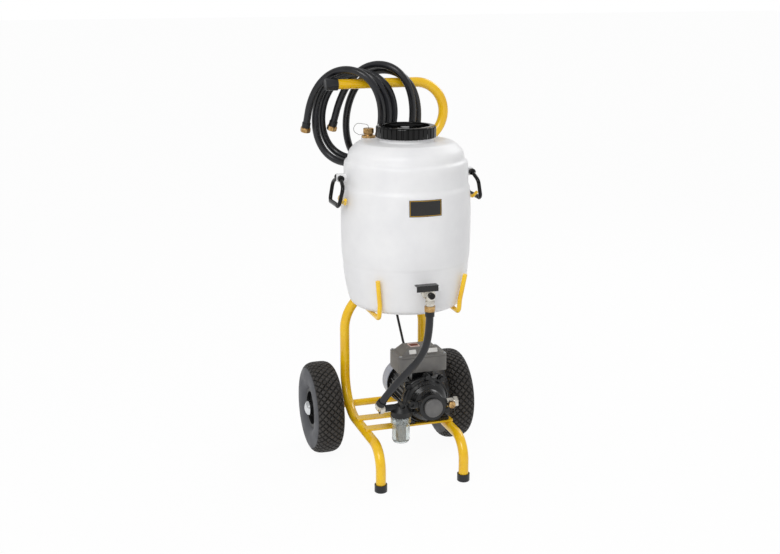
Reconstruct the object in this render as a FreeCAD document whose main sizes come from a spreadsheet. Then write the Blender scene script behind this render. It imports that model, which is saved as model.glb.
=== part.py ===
"""Filling and flushing cart: a bent-tube frame on two pneumatic wheels with a 30 litre tank and a pump."""
import FreeCAD, Part
import math
import os
import Sketcher
from FreeCAD import Placement, Rotation, Vector

doc = FreeCAD.newDocument("filling_cart")
sheet = doc.addObject("Spreadsheet::Sheet", "Sizes")

# Driving dimensions in millimetres and degrees: name, value, what it is
SIZES = (
    ("wheel_diameter", 260.0, "outside of the pneumatic tyre"),
    ("wheel_width", 84.0, "widest part of the tyre"),
    ("wheel_track", 387.0, "between the middle planes of the wheels"),
    ("rim_radius", 50.8, "where the tyre bead sits on the rim"),
    ("rim_width", 60.0, "over the rim flanges"),
    ("hub_radius", 21.0, "outside of the wheel hub"),
    ("hub_length", 66.0, "length of the wheel hub"),
    ("axle_diameter", 20.0, "solid axle"),
    ("running_gap", 0.05, "radial gap of a turning fit"),
    ("tube_diameter", 26.9, "three quarter inch steel tube"),
    ("tube_wall", 2.0, "wall of the frame tube"),
    ("rail_spacing", 234.0, "between the centrelines of the side rails"),
    ("upright_y", 16.0, "uprights behind the axle"),
    ("foot_reach", 327.0, "feet in front of the axle"),
    ("rail_z", 116.5, "height of the side rails"),
    ("rear_bend", 108.0, "bend between upright and rail"),
    ("front_bend", 60.0, "bend between rail and foot"),
    ("arch_z", 467.0, "top of the arch, centreline"),
    ("foot_cap_radius", 17.0, "outside of the rubber foot cap"),
    ("foot_cap_height", 21.0, "height of the rubber foot cap"),
    ("foot_cap_floor", 6.0, "rubber under the tube end"),
    ("seat_gap", 0.3, "gap where a round piece seats on another"),
    ("bar_width", 30.0, "flat crossbar, front to back"),
    ("bar_thickness", 5.0, "flat crossbar"),
    ("bar_length", 250.0, "flat crossbar across both rails"),
    ("handle_height", 1040.5, "centreline of the handle bar"),
    ("handle_left", 162.0, "free end of the handle bar, left of the middle"),
    ("handle_bend_x", 92.0, "centre of the big handle bend"),
    ("handle_bend", 82.0, "radius of the big handle bend"),
    ("handle_turn", 130.0, "degrees that the big handle bend turns"),
    ("spine_bend", 80.0, "bend between spine and slope"),
    ("handle_cap_radius", 16.6, "outside of the handle end cap"),
    ("handle_cap_length", 34.0, "length of the handle end cap"),
    ("cradle_rod", 12.0, "rod of the tank cradle"),
    ("cradle_half_width", 110.0, "prongs from the middle"),
    ("cradle_reach", 292.0, "prongs in front of the axle"),
    ("cradle_top", 572.0, "top of the prongs"),
    ("cradle_flare", 9.0, "how far the prong tips lean out"),
    ("hoop_rod", 8.0, "rod of the tank hoop"),
    ("hoop_z", 757.0, "height of the tank hoop"),
    ("tank_z", 472.5, "underside of the tank"),
    ("tank_radius", 171.5, "belly of the tank"),
    ("tank_wall", 3.0, "wall of the tank"),
    ("tank_height", 436.0, "underside to the top plateau of the tank"),
    ("neck_radius", 71.0, "outside of the tank neck"),
    ("neck_wall", 4.0, "wall of the tank neck"),
    ("neck_height", 34.0, "neck above the plateau"),
    ("lid_radius", 79.0, "outside of the screw ring"),
    ("lid_height", 30.0, "height of the screw ring"),
    ("lid_thread_gap", 1.2, "between the screw ring and the neck"),
    ("lid_lift", 12.0, "rise of the ring when it is unscrewed two turns"),
    ("lug_z", 820.0, "pivot height of the tank handles"),
    ("lug_x", 181.0, "pivot of the tank handles from the middle"),
    ("lug_pin_radius", 4.0, "pivot pin of a tank handle"),
    ("grip_rod", 8.5, "rod of a tank handle"),
    ("grip_span", 92.0, "length of the hand grip"),
    ("grip_drop", 66.0, "grip below its pivot"),
    ("grip_out", 22.0, "grip outside its pivot"),
    ("port_x", -76.0, "filling port, left of the middle"),
    ("port_y", 86.0, "filling port behind the tank axis"),
    ("port_flange_radius", 18.5, "brass flange"),
    ("port_cap_radius", 14.0, "knurled brass cap"),
    ("valve_z", 543.0, "axis of the ball valve"),
    ("valve_drop_y", 372.5, "vertical axis of the outlet elbow in front of the axle"),
    ("hose_diameter", 20.0, "half inch hose with its wall"),
    ("motor_x", 47.0, "motor axis right of the middle"),
    ("motor_axis_height", 63.0, "shaft height above the feet"),
    ("motor_foot_length", 80.0, "between the foot bolts, front to back"),
    ("motor_foot_width", 104.0, "between the foot bolts, side to side"),
    ("front_bar_y", 208.0, "front crossbar in front of the axle"),
    ("motor_radius", 53.0, "motor body under the fins"),
    ("fin_height", 6.0, "cooling fins"),
    ("cowl_radius", 62.0, "fan cowl"),
    ("cowl_length", 46.0, "fan cowl"),
    ("axle_room", 1.0, "between the axle and the fan cowl"),
    ("flange_y", 200.0, "rear face of the pump flange in front of the axle"),
    ("flange_radius", 66.0, "pump flange"),
    ("flange_thickness", 13.0, "pump flange"),
    ("nose_radius", 37.0, "nose of the pump housing"),
    ("pump_front_y", 274.0, "front face of the pump housing in front of the axle"),
    ("cover_radius", 25.5, "grey cover disc"),
    ("cover_depth", 9.0, "grey cover disc"),
    ("rotor_radius", 8.0, "motor shaft"),
    ("box_width", 132.0, "junction box, side to side"),
    ("box_depth", 84.0, "junction box, front to back"),
    ("box_height", 42.0, "junction box without its lid"),
    ("box_z", 271.0, "underside of the junction box"),
    ("box_front_y", 192.0, "front face of the junction box in front of the axle"),
    ("box_wall", 2.5, "wall of the junction box"),
    ("lid_rim", 7.0, "upright rim of the junction box lid"),
    ("lid_rise", 18.0, "sloped top of the junction box lid"),
    ("filter_x", -40.0, "filter axis"),
    ("filter_y", 262.0, "filter axis in front of the axle"),
    ("bowl_radius", 24.0, "clear filter bowl"),
    ("bowl_bottom", 107.0, "underside of the filter bowl"),
    ("collar_bottom", 164.0, "underside of the filter collar"),
    ("collar_radius", 28.0, "filter collar"),
    ("collar_height", 16.0, "filter collar"),
    ("pipe_z", 206.5, "height of the suction pipe"),
    ("pipe_radius", 9.5, "suction pipe"),
    ("cord_diameter", 7.0, "mains lead"),
    ("cord_coil_radius", 40.0, "middle of the turns of the put-away lead"),
    ("cord_coil_turns", 8.0, "turns of the put-away lead"),
)
for row, (alias, value, meaning) in enumerate(SIZES, start=1):
    sheet.set("A%d" % row, meaning)
    sheet.set("B%d" % row, str(value))
    sheet.setAlias("B%d" % row, alias)
doc.recompute()


class Size:
    """A length with its value and the text that works it out from the sheet."""

    def __init__(self, text, value):
        self.text = text
        self.value = value

    def __float__(self):
        return float(self.value)

    def __neg__(self):
        return Size("(-%s)" % self.text, -self.value)

    def __add__(self, other):
        return combine(self, "+", other, float(self) + float(other))

    def __radd__(self, other):
        return combine(other, "+", self, float(other) + float(self))

    def __sub__(self, other):
        return combine(self, "-", other, float(self) - float(other))

    def __rsub__(self, other):
        return combine(other, "-", self, float(other) - float(self))

    def __mul__(self, other):
        return combine(self, "*", other, float(self) * float(other))

    def __rmul__(self, other):
        return combine(other, "*", self, float(other) * float(self))

    def __truediv__(self, other):
        return combine(self, "/", other, float(self) / float(other))


def wording(amount):
    return amount.text if isinstance(amount, Size) else "%.6f" % float(amount)


def combine(left, sign, right, value):
    return Size("(%s %s %s)" % (wording(left), sign, wording(right)), value)


class Named:
    """The sizes of the sheet as attributes."""


s = Named()
for alias, value, meaning in SIZES:
    setattr(s, alias, Size("Sizes.%s" % alias, float(sheet.get(alias))))

# Places that several sub-parts share
MOTOR_BACK = s.axle_diameter / 2 + s.axle_room
TUBE_R = s.tube_diameter / 2
AXLE_Z = s.wheel_diameter / 2
RAIL_X = s.rail_spacing / 2
BAR_Z = s.rail_z + TUBE_R + s.seat_gap
BAR_TOP = BAR_Z + s.bar_thickness
MOTOR_Z = BAR_TOP + s.motor_axis_height
SPINE_FRONT = s.upright_y - TUBE_R
HOOP_R = s.tank_radius + s.seat_gap + s.hoop_rod / 2
TANK_Y = SPINE_FRONT - s.seat_gap - s.hoop_rod / 2 - HOOP_R
PLATEAU = s.tank_z + s.tank_height
NECK_TOP = PLATEAU + s.neck_height
FRONT = s.valve_drop_y + 18.05
AXLE_SETBACK = (FRONT - s.wheel_diameter / 2) / 2

NODES = {}
AXIS_TURN = {
    "Z": Rotation(),
    "-Z": Rotation(Vector(1, 0, 0), 180),
    "X": Rotation(Vector(0, 1, 0), 90),
    "-X": Rotation(Vector(0, 1, 0), -90),
    "Y": Rotation(Vector(1, 0, 0), -90),
    "-Y": Rotation(Vector(1, 0, 0), 90),
}


def bind(thing, prop, amount):
    """Set a property, and tie it to the sheet where the amount comes from there."""
    setattr(thing, prop, float(amount))
    if isinstance(amount, Size):
        thing.setExpression(prop, amount.text)


def place(thing, at, turn="Z"):
    spin = AXIS_TURN[turn] if isinstance(turn, str) else turn
    thing.Placement = Placement(Vector(*[float(amount) for amount in at]), spin)
    for letter, amount in zip("xyz", at):
        if isinstance(amount, Size):
            thing.setExpression("Placement.Base.%s" % letter, amount.text)


def cylinder(name, radius, height, at, axis="Z"):
    made = doc.addObject("Part::Cylinder", name)
    bind(made, "Radius", radius)
    bind(made, "Height", height)
    place(made, at, axis)
    return made


def cone(name, radius_1, radius_2, height, at, axis="Z"):
    made = doc.addObject("Part::Cone", name)
    bind(made, "Radius1", radius_1)
    bind(made, "Radius2", radius_2)
    bind(made, "Height", height)
    place(made, at, axis)
    return made


def block(name, length, width, height, at):
    """A box centred on X and Y of its place and standing on its Z."""
    made = doc.addObject("Part::Box", name)
    bind(made, "Length", length)
    bind(made, "Width", width)
    bind(made, "Height", height)
    place(made, (at[0] - length / 2, at[1] - width / 2, at[2]))
    return made


def prism(name, sides, radius, height, at, axis="Z"):
    made = doc.addObject("Part::Prism", name)
    made.Polygon = sides
    bind(made, "Circumradius", radius)
    bind(made, "Height", height)
    place(made, at, axis)
    return made


def fuse(name, pieces, refine=True):
    made = doc.addObject("Part::MultiFuse", name)
    made.Shapes = pieces
    made.Refine = refine
    return made


def cut(name, base, tools):
    tool = tools[0] if len(tools) == 1 else fuse(name + "_tools", tools)
    made = doc.addObject("Part::Cut", name)
    made.Base = base
    made.Tool = tool
    return made


def group(name, pieces):
    """Separate solids in one node."""
    made = doc.addObject("Part::Compound", name)
    made.Links = pieces
    return made


def solid(name, shape):
    made = doc.addObject("Part::Feature", name)
    made.Shape = shape
    return made


def node(name, made):
    """Give a finished sub-part its name."""
    made.Label = name
    NODES[name] = made
    return made


def origin_plane(body, role):
    return [item for item in body.Origin.OriginFeatures if item.Role == role][0]


def sketch_outline(body, name, role, points, lift=0.0):
    """A closed outline of straight edges, each corner tied to its own pair of sizes."""
    sketch = body.newObject("Sketcher::SketchObject", name)
    sketch.AttachmentSupport = (origin_plane(body, role), [""])
    sketch.MapMode = "FlatFace"
    if lift:
        sketch.AttachmentOffset = Placement(Vector(0, 0, float(lift)), Rotation())
        if isinstance(lift, Size):
            sketch.setExpression("AttachmentOffset.Base.z", lift.text)
    corners = [Vector(float(a), float(b), 0) for a, b in points]
    count = len(corners)
    for index in range(count):
        sketch.addGeometry(Part.LineSegment(corners[index], corners[(index + 1) % count]), False)
    for index in range(count):
        joint = Sketcher.Constraint("Coincident", index, 2, (index + 1) % count, 1)
        sketch.addConstraint(joint)
    for index, (a, b) in enumerate(points):
        for kind, amount in (("DistanceX", a), ("DistanceY", b)):
            number = sketch.addConstraint(Sketcher.Constraint(kind, -1, 1, index, 1, float(amount)))
            if isinstance(amount, Size):
                sketch.setExpression("Constraints[%d]" % number, amount.text)
    return sketch




def turned(name, points, at=(0, 0, 0), axis="Z"):
    """A body turned about its own Z axis from an outline of radius and height."""
    body = doc.addObject("PartDesign::Body", name)
    sketch = sketch_outline(body, name + "_profile", "XZ_Plane", points)
    spun = body.newObject("PartDesign::Revolution", name + "_turned")
    spun.Profile = sketch
    spun.ReferenceAxis = (sketch, ["V_Axis"])
    spun.Angle = 360.0
    sketch.Visibility = False
    place(body, at, axis)
    doc.recompute()
    return body


def soften(body, name, edges, radius):
    """Round the named edges of a body's last feature."""
    base = body.Tip
    made = body.newObject("PartDesign::Fillet", name)
    made.Base = (base, edges)
    bind(made, "Radius", radius)
    body.Tip = made
    doc.recompute()
    return made


def upright_edges(shape):
    return ["Edge%d" % number for number, edge in enumerate(shape.Edges, start=1)
            if edge.BoundBox.XLength < 0.01 and edge.BoundBox.YLength < 0.01]


def padded(name, points, height, at=(0, 0, 0), role="XY_Plane", axis="Z"):
    """A body padded up from a closed outline."""
    body = doc.addObject("PartDesign::Body", name)
    sketch = sketch_outline(body, name + "_outline", role, points)
    pad = body.newObject("PartDesign::Pad", name + "_pad")
    pad.Profile = sketch
    bind(pad, "Length", height)
    sketch.Visibility = False
    place(body, at, axis)
    doc.recompute()
    return body


def rectangle(half_length, half_width, middle=(0, 0)):
    a, b = middle
    return ((a - half_length, b - half_width), (a + half_length, b - half_width),
            (a + half_length, b + half_width), (a - half_length, b + half_width))


def rounded_path(points, radii):
    """Straight runs joined by tangent arcs: a wire, its start and its first direction."""
    corners = [Vector(*[float(amount) for amount in point]) for point in points]
    edges = []
    here = corners[0]
    for index in range(1, len(corners) - 1):
        corner = corners[index]
        into = (corner - corners[index - 1]).normalize()
        out = (corners[index + 1] - corner).normalize()
        angle = into.getAngle(out)
        reach = float(radii[index - 1]) * math.tan(angle / 2)
        start = corner - into * reach
        end = corner + out * reach
        inward = (out - into).normalize()
        sag = float(radii[index - 1]) * (1 / math.cos(angle / 2) - 1)
        middle = corner + inward * sag
        if (start - here).Length > 1e-4:
            edges.append(Part.LineSegment(here, start).toShape())
        edges.append(Part.Arc(start, middle, end).toShape())
        here = end
    edges.append(Part.LineSegment(here, corners[-1]).toShape())
    first = (corners[1] - corners[0]).normalize()
    return Part.Wire(edges), corners[0], first


def swept(path, start, direction, radius):
    ring = Part.Wire([Part.makeCircle(float(radius), start, direction)])
    shape = path.makePipeShell([ring], True, False)
    made = Part.Solid(shape.Solids[0]) if shape.Solids else Part.Solid(shape)
    if made.Volume < 0:
        made.reverse()
    return made


def rod(points, radii, diameter):
    return swept(*rounded_path(points, radii), diameter / 2)


def tube(points, radii, diameter, wall):
    path, start, direction = rounded_path(points, radii)
    outside = swept(path, start, direction, diameter / 2)
    return outside.cut(swept(path, start, direction, diameter / 2 - wall))


def moved(point, dx=0.0, dy=0.0, dz=0.0):
    return (point[0] + dx, point[1] + dy, point[2] + dz)


# Frame tube: one bent tube with a foot, a rail and an upright on each side and an arch behind the tank
def make_frame_tube():
    near = [(-s.foot_reach, s.foot_cap_floor), (-s.foot_reach, s.rail_z), (s.upright_y, s.rail_z),
            (s.upright_y, s.arch_z)]
    points = [(-RAIL_X, y, z) for y, z in near] + [(RAIL_X, y, z) for y, z in reversed(near)]
    radii = [s.front_bend, s.rear_bend, RAIL_X, RAIL_X, s.rear_bend, s.front_bend]
    return node("frame_tube", solid("frame_tube", tube(points, radii, s.tube_diameter, s.tube_wall)))


# Handle tube: spine, slope and bar in one, saddled onto the arch, with a hook for the mains lead
def make_handle_tube():
    turn = math.radians(float(s.handle_turn))
    corner_x = float(s.handle_bend_x) + float(s.handle_bend) * math.tan(turn / 2)
    low_z = float(s.handle_height) - corner_x * math.tan(math.pi - turn)
    points = [(0, s.upright_y, s.arch_z), (0, s.upright_y, low_z), (corner_x, s.upright_y, s.handle_height),
              (-s.handle_left, s.upright_y, s.handle_height)]
    made = tube(points, [s.spine_bend, s.handle_bend], s.tube_diameter, s.tube_wall)
    saddle = Part.makeTorus(float(RAIL_X), float(TUBE_R) + 0.02, Vector(0, float(s.upright_y), float(s.arch_z - RAIL_X)),
                            Vector(0, 1, 0))
    hook_y = s.upright_y + TUBE_R
    hook = rod([(0, hook_y - 1.5, s.hook_z), (0, hook_y + s.hook_reach, s.hook_z),
                (0, hook_y + s.hook_reach, s.hook_z + 26)], [10.0], Size("6", 6.0))
    return node("handle_tube", solid("handle_tube", made.cut(saddle).fuse(hook)))


def make_end_caps():
    wall = s.handle_cap_radius - TUBE_R
    cap = turned("handle_end_cap", ((0, 0), (s.handle_cap_radius - 2, 0), (s.handle_cap_radius, 2),
                                    (s.handle_cap_radius, s.handle_cap_length), (TUBE_R + 0.05, s.handle_cap_length),
                                    (TUBE_R + 0.05, 3), (0, 3)),
                 (-s.handle_left - 3.05, s.upright_y, s.handle_height), "X")
    node("handle_end_cap", cap)
    for side, sign in (("left", -1), ("right", 1)):
        name = "foot_cap_" + side
        foot = turned(name, ((0, 0), (s.foot_cap_radius - 1.5, 0), (s.foot_cap_radius, 1.5),
                             (s.foot_cap_radius, s.foot_cap_height), (TUBE_R + 0.05, s.foot_cap_height),
                             (TUBE_R + 0.05, s.foot_cap_floor - 0.05), (0, s.foot_cap_floor - 0.05)),
                      (sign * RAIL_X, -s.foot_reach, 0))
        node(name, foot)
    return wall


# Axle with a collar inboard of each wheel and a domed cap at each end
def make_axle():
    end = s.wheel_track / 2 + s.hub_length / 2
    inboard = s.wheel_track / 2 - s.hub_length / 2
    bar = cylinder("axle_bar", s.axle_diameter / 2, 2 * (end + 10.4), (-end - 10.4, 0, AXLE_Z), "X")
    collar_l = cylinder("collar_left", 15, 8, (-inboard + 0.4, 0, AXLE_Z), "X")
    collar_r = cylinder("collar_right", 15, 8, (inboard - 8.4, 0, AXLE_Z), "X")
    node("axle", fuse("axle", [bar, collar_l, collar_r]))
    grip = s.axle_diameter / 2 + 0.02
    for side, sign, axis in (("left", -1, "-X"), ("right", 1, "X")):
        name = "hub_cap_" + side
        cap = turned(name, ((grip, 0), (20.5, 0), (20.5, 4), (18.5, 8), (14, 11.3), (8, 13.5), (0, 14.5),
                            (0, 10.5), (grip, 10.5)), (sign * (end + 0.5), 0, AXLE_Z), axis)
        node(name, cap)


def make_wheel(side, sign):
    middle = (sign * s.wheel_track / 2, 0, AXLE_Z)
    half = s.wheel_width / 2
    outer = s.wheel_diameter / 2
    bead = s.rim_radius
    seat = bead - 0.3
    tyre = ((bead, 20), (bead, 27), (bead + 6.5, 27), (bead + 10, 31.5), (bead + 18, half - 4.2),
            (bead + 29, half - 1), (bead + 41, half), (bead + 53, half - 0.6), (outer - 16, half - 3.5),
            (outer - 7.5, half - 9), (outer - 2.5, half - 17), (outer, half - 28))
    hollow = ((outer - 9, half - 30), (outer - 12, half - 19), (outer - 20, half - 10), (bead + 42, half - 6.5),
              (bead + 28, half - 8), (bead + 14, 27), (bead + 7, 20))
    outline = tyre + tuple((r, -z) for r, z in reversed(tyre)) + tuple((r, -z) for r, z in reversed(hollow)) + hollow
    node("tyre_" + side, turned("tyre_" + side, outline, middle, "X"))
    hub = s.hub_length / 2
    bore = 16.0
    upper = ((s.hub_radius, hub), (s.hub_radius, 3), (seat - 12, 3), (seat - 12, 14), (seat - 3, 19),
             (seat - 3, s.rim_width / 2), (bead + 6, s.rim_width / 2), (bead + 6, 27.3), (seat, 27.3),
             (seat, 20), (seat - 9, 15))
    rim = ((bore, hub),) + upper + tuple((r, -z) for r, z in reversed(upper)) + ((bore, -hub),)
    node("rim_" + side, turned("rim_" + side, rim, middle, "X"))
    shaft = s.axle_diameter / 2 + s.running_gap
    pieces = []
    for end in (-1, 1):
        low = hub - 12 if end > 0 else -hub
        ring = cylinder("bearing_%s_%d" % (side, end + 1), bore - 0.02, 12, (middle[0] + low, 0, AXLE_Z), "X")
        hole = cylinder("bearing_hole_%s_%d" % (side, end + 1), shaft, 14, (middle[0] + low - 1, 0, AXLE_Z), "X")
        pieces.append(cut("bearing_cut_%s_%d" % (side, end + 1), ring, [hole]))
    node("wheel_bearings_" + side, group("wheel_bearings_" + side, pieces))


def make_crossbars():
    middle_y = s.front_bar_y - s.motor_foot_length
    for name, y in (("crossbar_middle", middle_y), ("crossbar_front", s.front_bar_y)):
        plate = padded(name + "_plate", rectangle(s.bar_length / 2, s.bar_width / 2), s.bar_thickness, (0, -y, BAR_Z))
        soften(plate, name + "_corners", upright_edges(plate.Shape), 4)
        holes = [cylinder("%s_hole_%d" % (name, k), 4.1, s.bar_thickness + 2,
                          (s.motor_x + sign * s.motor_foot_width / 2, -y, BAR_Z - 1))
                 for k, sign in enumerate((-1, 1))]
        node(name, cut(name, plate, holes))


# Cradle: one bent rod under the tank with two prongs in front
def make_cradle():
    x = s.cradle_half_width
    z = s.tank_z - s.seat_gap - s.cradle_rod / 2
    back = SPINE_FRONT - s.seat_gap - s.cradle_rod / 2
    side = [(s.cradle_flare, -s.cradle_reach - 19, s.cradle_top), (0, -s.cradle_reach - 7, z + 36),
            (0, -s.cradle_reach, z), (0, back, z)]
    points = [(-x - dx, y, height) for dx, y, height in side]
    points += [(x + dx, y, height) for dx, y, height in reversed(side)]
    radii = [40, 16, 22, 22, 16, 40]
    node("tank_cradle", solid("tank_cradle", rod(points, radii, s.cradle_rod)))


# Hoop: a rod round the back of the tank, hooked out at both ends
def make_hoop():
    r = float(HOOP_R)
    y = float(TANK_Y)
    z = float(s.hoop_z)
    legs = [(r + 4.0, y - 52, z + 15), (r, y - 34, z), (r, y, z)]
    edges, start, first = rounded_path([(-a, b, c) for a, b, c in legs], [14])
    arc = Part.Arc(Vector(-r, y, z), Vector(0, y + r, z), Vector(r, y, z)).toShape()
    back, begin, direction = rounded_path([(a, b, c) for a, b, c in reversed(legs)], [14])
    path = Part.Wire(list(edges.Edges) + [arc] + list(back.Edges))
    lug = Part.makeBox(14, 6.2, 6, Vector(23, float(SPINE_FRONT) - 6.5, z - 3))
    node("tank_hoop", solid("tank_hoop", swept(path, start, first, s.hoop_rod / 2).fuse(lug)))


def make_tank():
    w = s.tank_wall
    r = s.tank_radius
    h = s.tank_height
    neck_in = s.neck_radius - s.neck_wall
    outside = ((0, 0), (122, 0), (136, 2.5), (146, 9), (151, 18), (157, 43), (162, 68), (165, 88), (167, 122),
               (168.5, 128), (r - 1, 150), (r, 205), (r, 255), (168.5, 318), (164, 327), (163, 375), (161, 386),
               (153.5, 392), (151, 408), (145, 418), (128, h - 3), (120, h), (s.neck_radius, h),
               (s.neck_radius, h + s.neck_height), (neck_in, h + s.neck_height), (neck_in, h - w),
               (120, h - w), (128, h - 3 - w), (143, 415), (148, 405), (150.5, 389), (158, 383), (160, 375),
               (161, 325), (165.5, 316), (r - w, 255), (r - w, 205), (r - w - 1, 150), (165.5, 131), (164, 124),
               (162, 88), (159, 69), (154, 45), (148, 20), (143, 11.5), (135, 5.5), (121, 3), (0, w))
    shell = turned("tank_shell", outside, (0, TANK_Y, s.tank_z))
    port = (s.port_x, TANK_Y + s.port_y, PLATEAU)
    pieces = [shell, cylinder("port_boss", 20, 24, moved(port, dz=-23.5))]
    tools = [cylinder("port_hole", 8, 30, moved(port, dz=-26))]
    spout_y = TANK_Y - 156
    pieces.append(cylinder("spout", 15, 11.1, (0, spout_y + 3, s.valve_z), "-Y"))
    tools.append(cylinder("spout_hole", 7, 34, (0, spout_y + 12, s.valve_z), "-Y"))
    for k, sign in enumerate((-1, 1)):
        pieces.append(block("lug_%d" % k, 26, 20, 20, (sign * (s.lug_x - 7), TANK_Y, s.lug_z - 10)))
        tools.append(cylinder("lug_hole_%d" % k, s.lug_pin_radius + s.running_gap, 30,
                              (sign * s.lug_x, TANK_Y - 15, s.lug_z), "Y"))
    keep = cylinder("tank_room", s.tank_radius - 10, 330, (0, TANK_Y, s.tank_z + 60))
    lugs = cut("tank_lugs", fuse("lug_pair", pieces[3:]), [keep])
    node("tank_body", cut("tank_body", fuse("tank_outside", pieces[:3] + [lugs]), tools))


# Screw ring, disc and seal that close the tank
def make_lid():
    low = 15.0
    bore = s.neck_radius + s.lid_thread_gap
    top = s.lid_height
    ring = turned("lid_ring_body", ((bore, 0), (s.lid_radius - 1.5, 0), (s.lid_radius - 1.5, top - 2),
                                    (s.lid_radius - 3.5, top), (62, top), (62, top - 3), (bore, top - 3)),
                  (0, TANK_Y, NECK_TOP + 7 - s.lid_height))
    ribs = [block("lid_rib_%d" % k, 3.0, 5.0, top - 4,
                  (s.lid_radius * math.sin(k * math.pi / 18) - 2 * math.sin(k * math.pi / 18),
                   TANK_Y + (s.lid_radius - 2) * math.cos(k * math.pi / 18), NECK_TOP + 9 - s.lid_height))
            for k in range(36)]
    for k, rib in enumerate(ribs):
        turn = Rotation(Vector(0, 0, 1), -10.0 * k)
        angle = math.radians(10.0 * k)
        reach = s.lid_radius - 2.3
        corner = turn.multVec(Vector(-1.5, -2.5, 0))
        place(rib, (reach * math.sin(angle) + corner.x, TANK_Y + reach * math.cos(angle) + corner.y,
                    NECK_TOP + 9 - s.lid_height), turn)
    node("lid_ring", fuse("lid_ring", [ring] + ribs))
    inner = s.neck_radius - s.neck_wall
    disc = turned("lid_disc_body", ((0, -7), (inner - 2, -7), (inner - 2, 1.6), (s.neck_radius, 1.6),
                                    (s.neck_radius, 3.7), (60, 3.7), (59, -4.5), (14, -4.5), (14, 2), (0, 2)),
                  (0, TANK_Y, NECK_TOP))
    webs = []
    for k in range(8):
        angle = math.radians(45.0 * k)
        web = doc.addObject("Part::Box", "lid_web_%d" % k)
        web.Length = 47.0
        web.Width = 2.0
        web.Height = 4.5
        side = Rotation(Vector(0, 0, 1), 45.0 * k)
        offset = side.multVec(Vector(13, -1, 0))
        place(web, (offset.x, TANK_Y + offset.y, NECK_TOP - 5), side)
        webs.append(web)
    node("lid_disc", fuse("lid_disc", [disc] + webs))
    node("lid_seal", turned("lid_seal", ((inner - 1.5, 0.05), (s.neck_radius, 0.05), (s.neck_radius, 1.55),
                                         (inner - 1.5, 1.55)), (0, TANK_Y, NECK_TOP)))


# Brass filling port on the tank shoulder with its knurled cap
def make_port():
    spot = (s.port_x, TANK_Y + s.port_y, PLATEAU + 0.5)
    r = s.port_flange_radius
    node("return_port", turned("return_port", ((5, -30), (7.9, -30), (7.9, 0.1), (r, 0.1), (r, 5), (r - 1, 6),
                                                (12, 7), (12, 9.5), (10, 9.5), (10, 20), (5, 20)), spot))
    cap = s.port_cap_radius
    node("return_cap", turned("return_cap", ((10.1, 11), (cap, 11), (cap, 23.5), (cap - 2, 25), (0, 25), (0, 20.3),
                                              (10.1, 20.3)), spot))
    x, y, z = [float(amount) for amount in spot]
    ring = Part.makeTorus(10.9, 0.6, Vector(x, y, z + 10.25), Vector(0, 0, 1))
    wire = rod([(x - 11.4, y, z + 10.25), (x - 26, y - 2, z + 8), (x - 46, y - 2, z + 20), (x - 34, y - 2, z + 40),
                (x, y, z + 34), (x, y, z + 25.05)], [6, 12, 12, 8], Size("1.2", 1.2))
    outlet = (float(OUTLET[0]), float(OUTLET[1]), float(OUTLET[2]))
    a, b, c = outlet
    ring_2 = Part.makeTorus(10.4, 0.6, Vector(a, b - 17, c), Vector(0, 1, 0))
    wire_2 = rod([(a, b - 17, c - 10.9), (a, b - 20, c - 24), (a + 6, b - 34, c - 26), (a, b - 34, c),
                  (a, b - 24.55, c)], [6, 6, 8], Size("1.2", 1.2))
    node("cap_lanyards", solid("cap_lanyards", Part.makeCompound([ring, wire, ring_2, wire_2])))


# D-shaped tank handles that swing on pins in the lugs
def make_tank_handles():
    for side, sign in (("left", -1), ("right", 1)):
        x = sign * float(s.lug_x)
        y = float(TANK_Y)
        z = float(s.lug_z)
        half = float(s.grip_span) / 2
        low = (x + sign * (float(s.grip_out) - 8), z - float(s.grip_drop))
        arm = [(x, y - 15, z), (x + sign * 4, y - half - 4, z - 18), (low[0], y - half + 2, low[1]),
               (low[0], y + half - 2, low[1]), (x + sign * 4, y + half + 4, z - 18), (x, y + 15, z)]
        pieces = [Part.makeCylinder(float(s.grip_rod) * 0.72, 2 * half - 24, Vector(low[0], y - half + 12, low[1]),
                                    Vector(0, 1, 0)),
                  Part.makeCylinder(float(s.lug_pin_radius), 34, Vector(x, y - 17, z), Vector(0, 1, 0)),
                  Part.makeCylinder(8.5, 9, Vector(x, y - 19.5, z), Vector(0, 1, 0)),
                  Part.makeCylinder(8.5, 9, Vector(x, y + 10.5, z), Vector(0, 1, 0))]
        made = rod(arm, [16, 14, 14, 16], s.grip_rod * 1.2)
        node("tank_handle_" + side, solid("tank_handle_" + side, made.fuse(pieces)))


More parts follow.
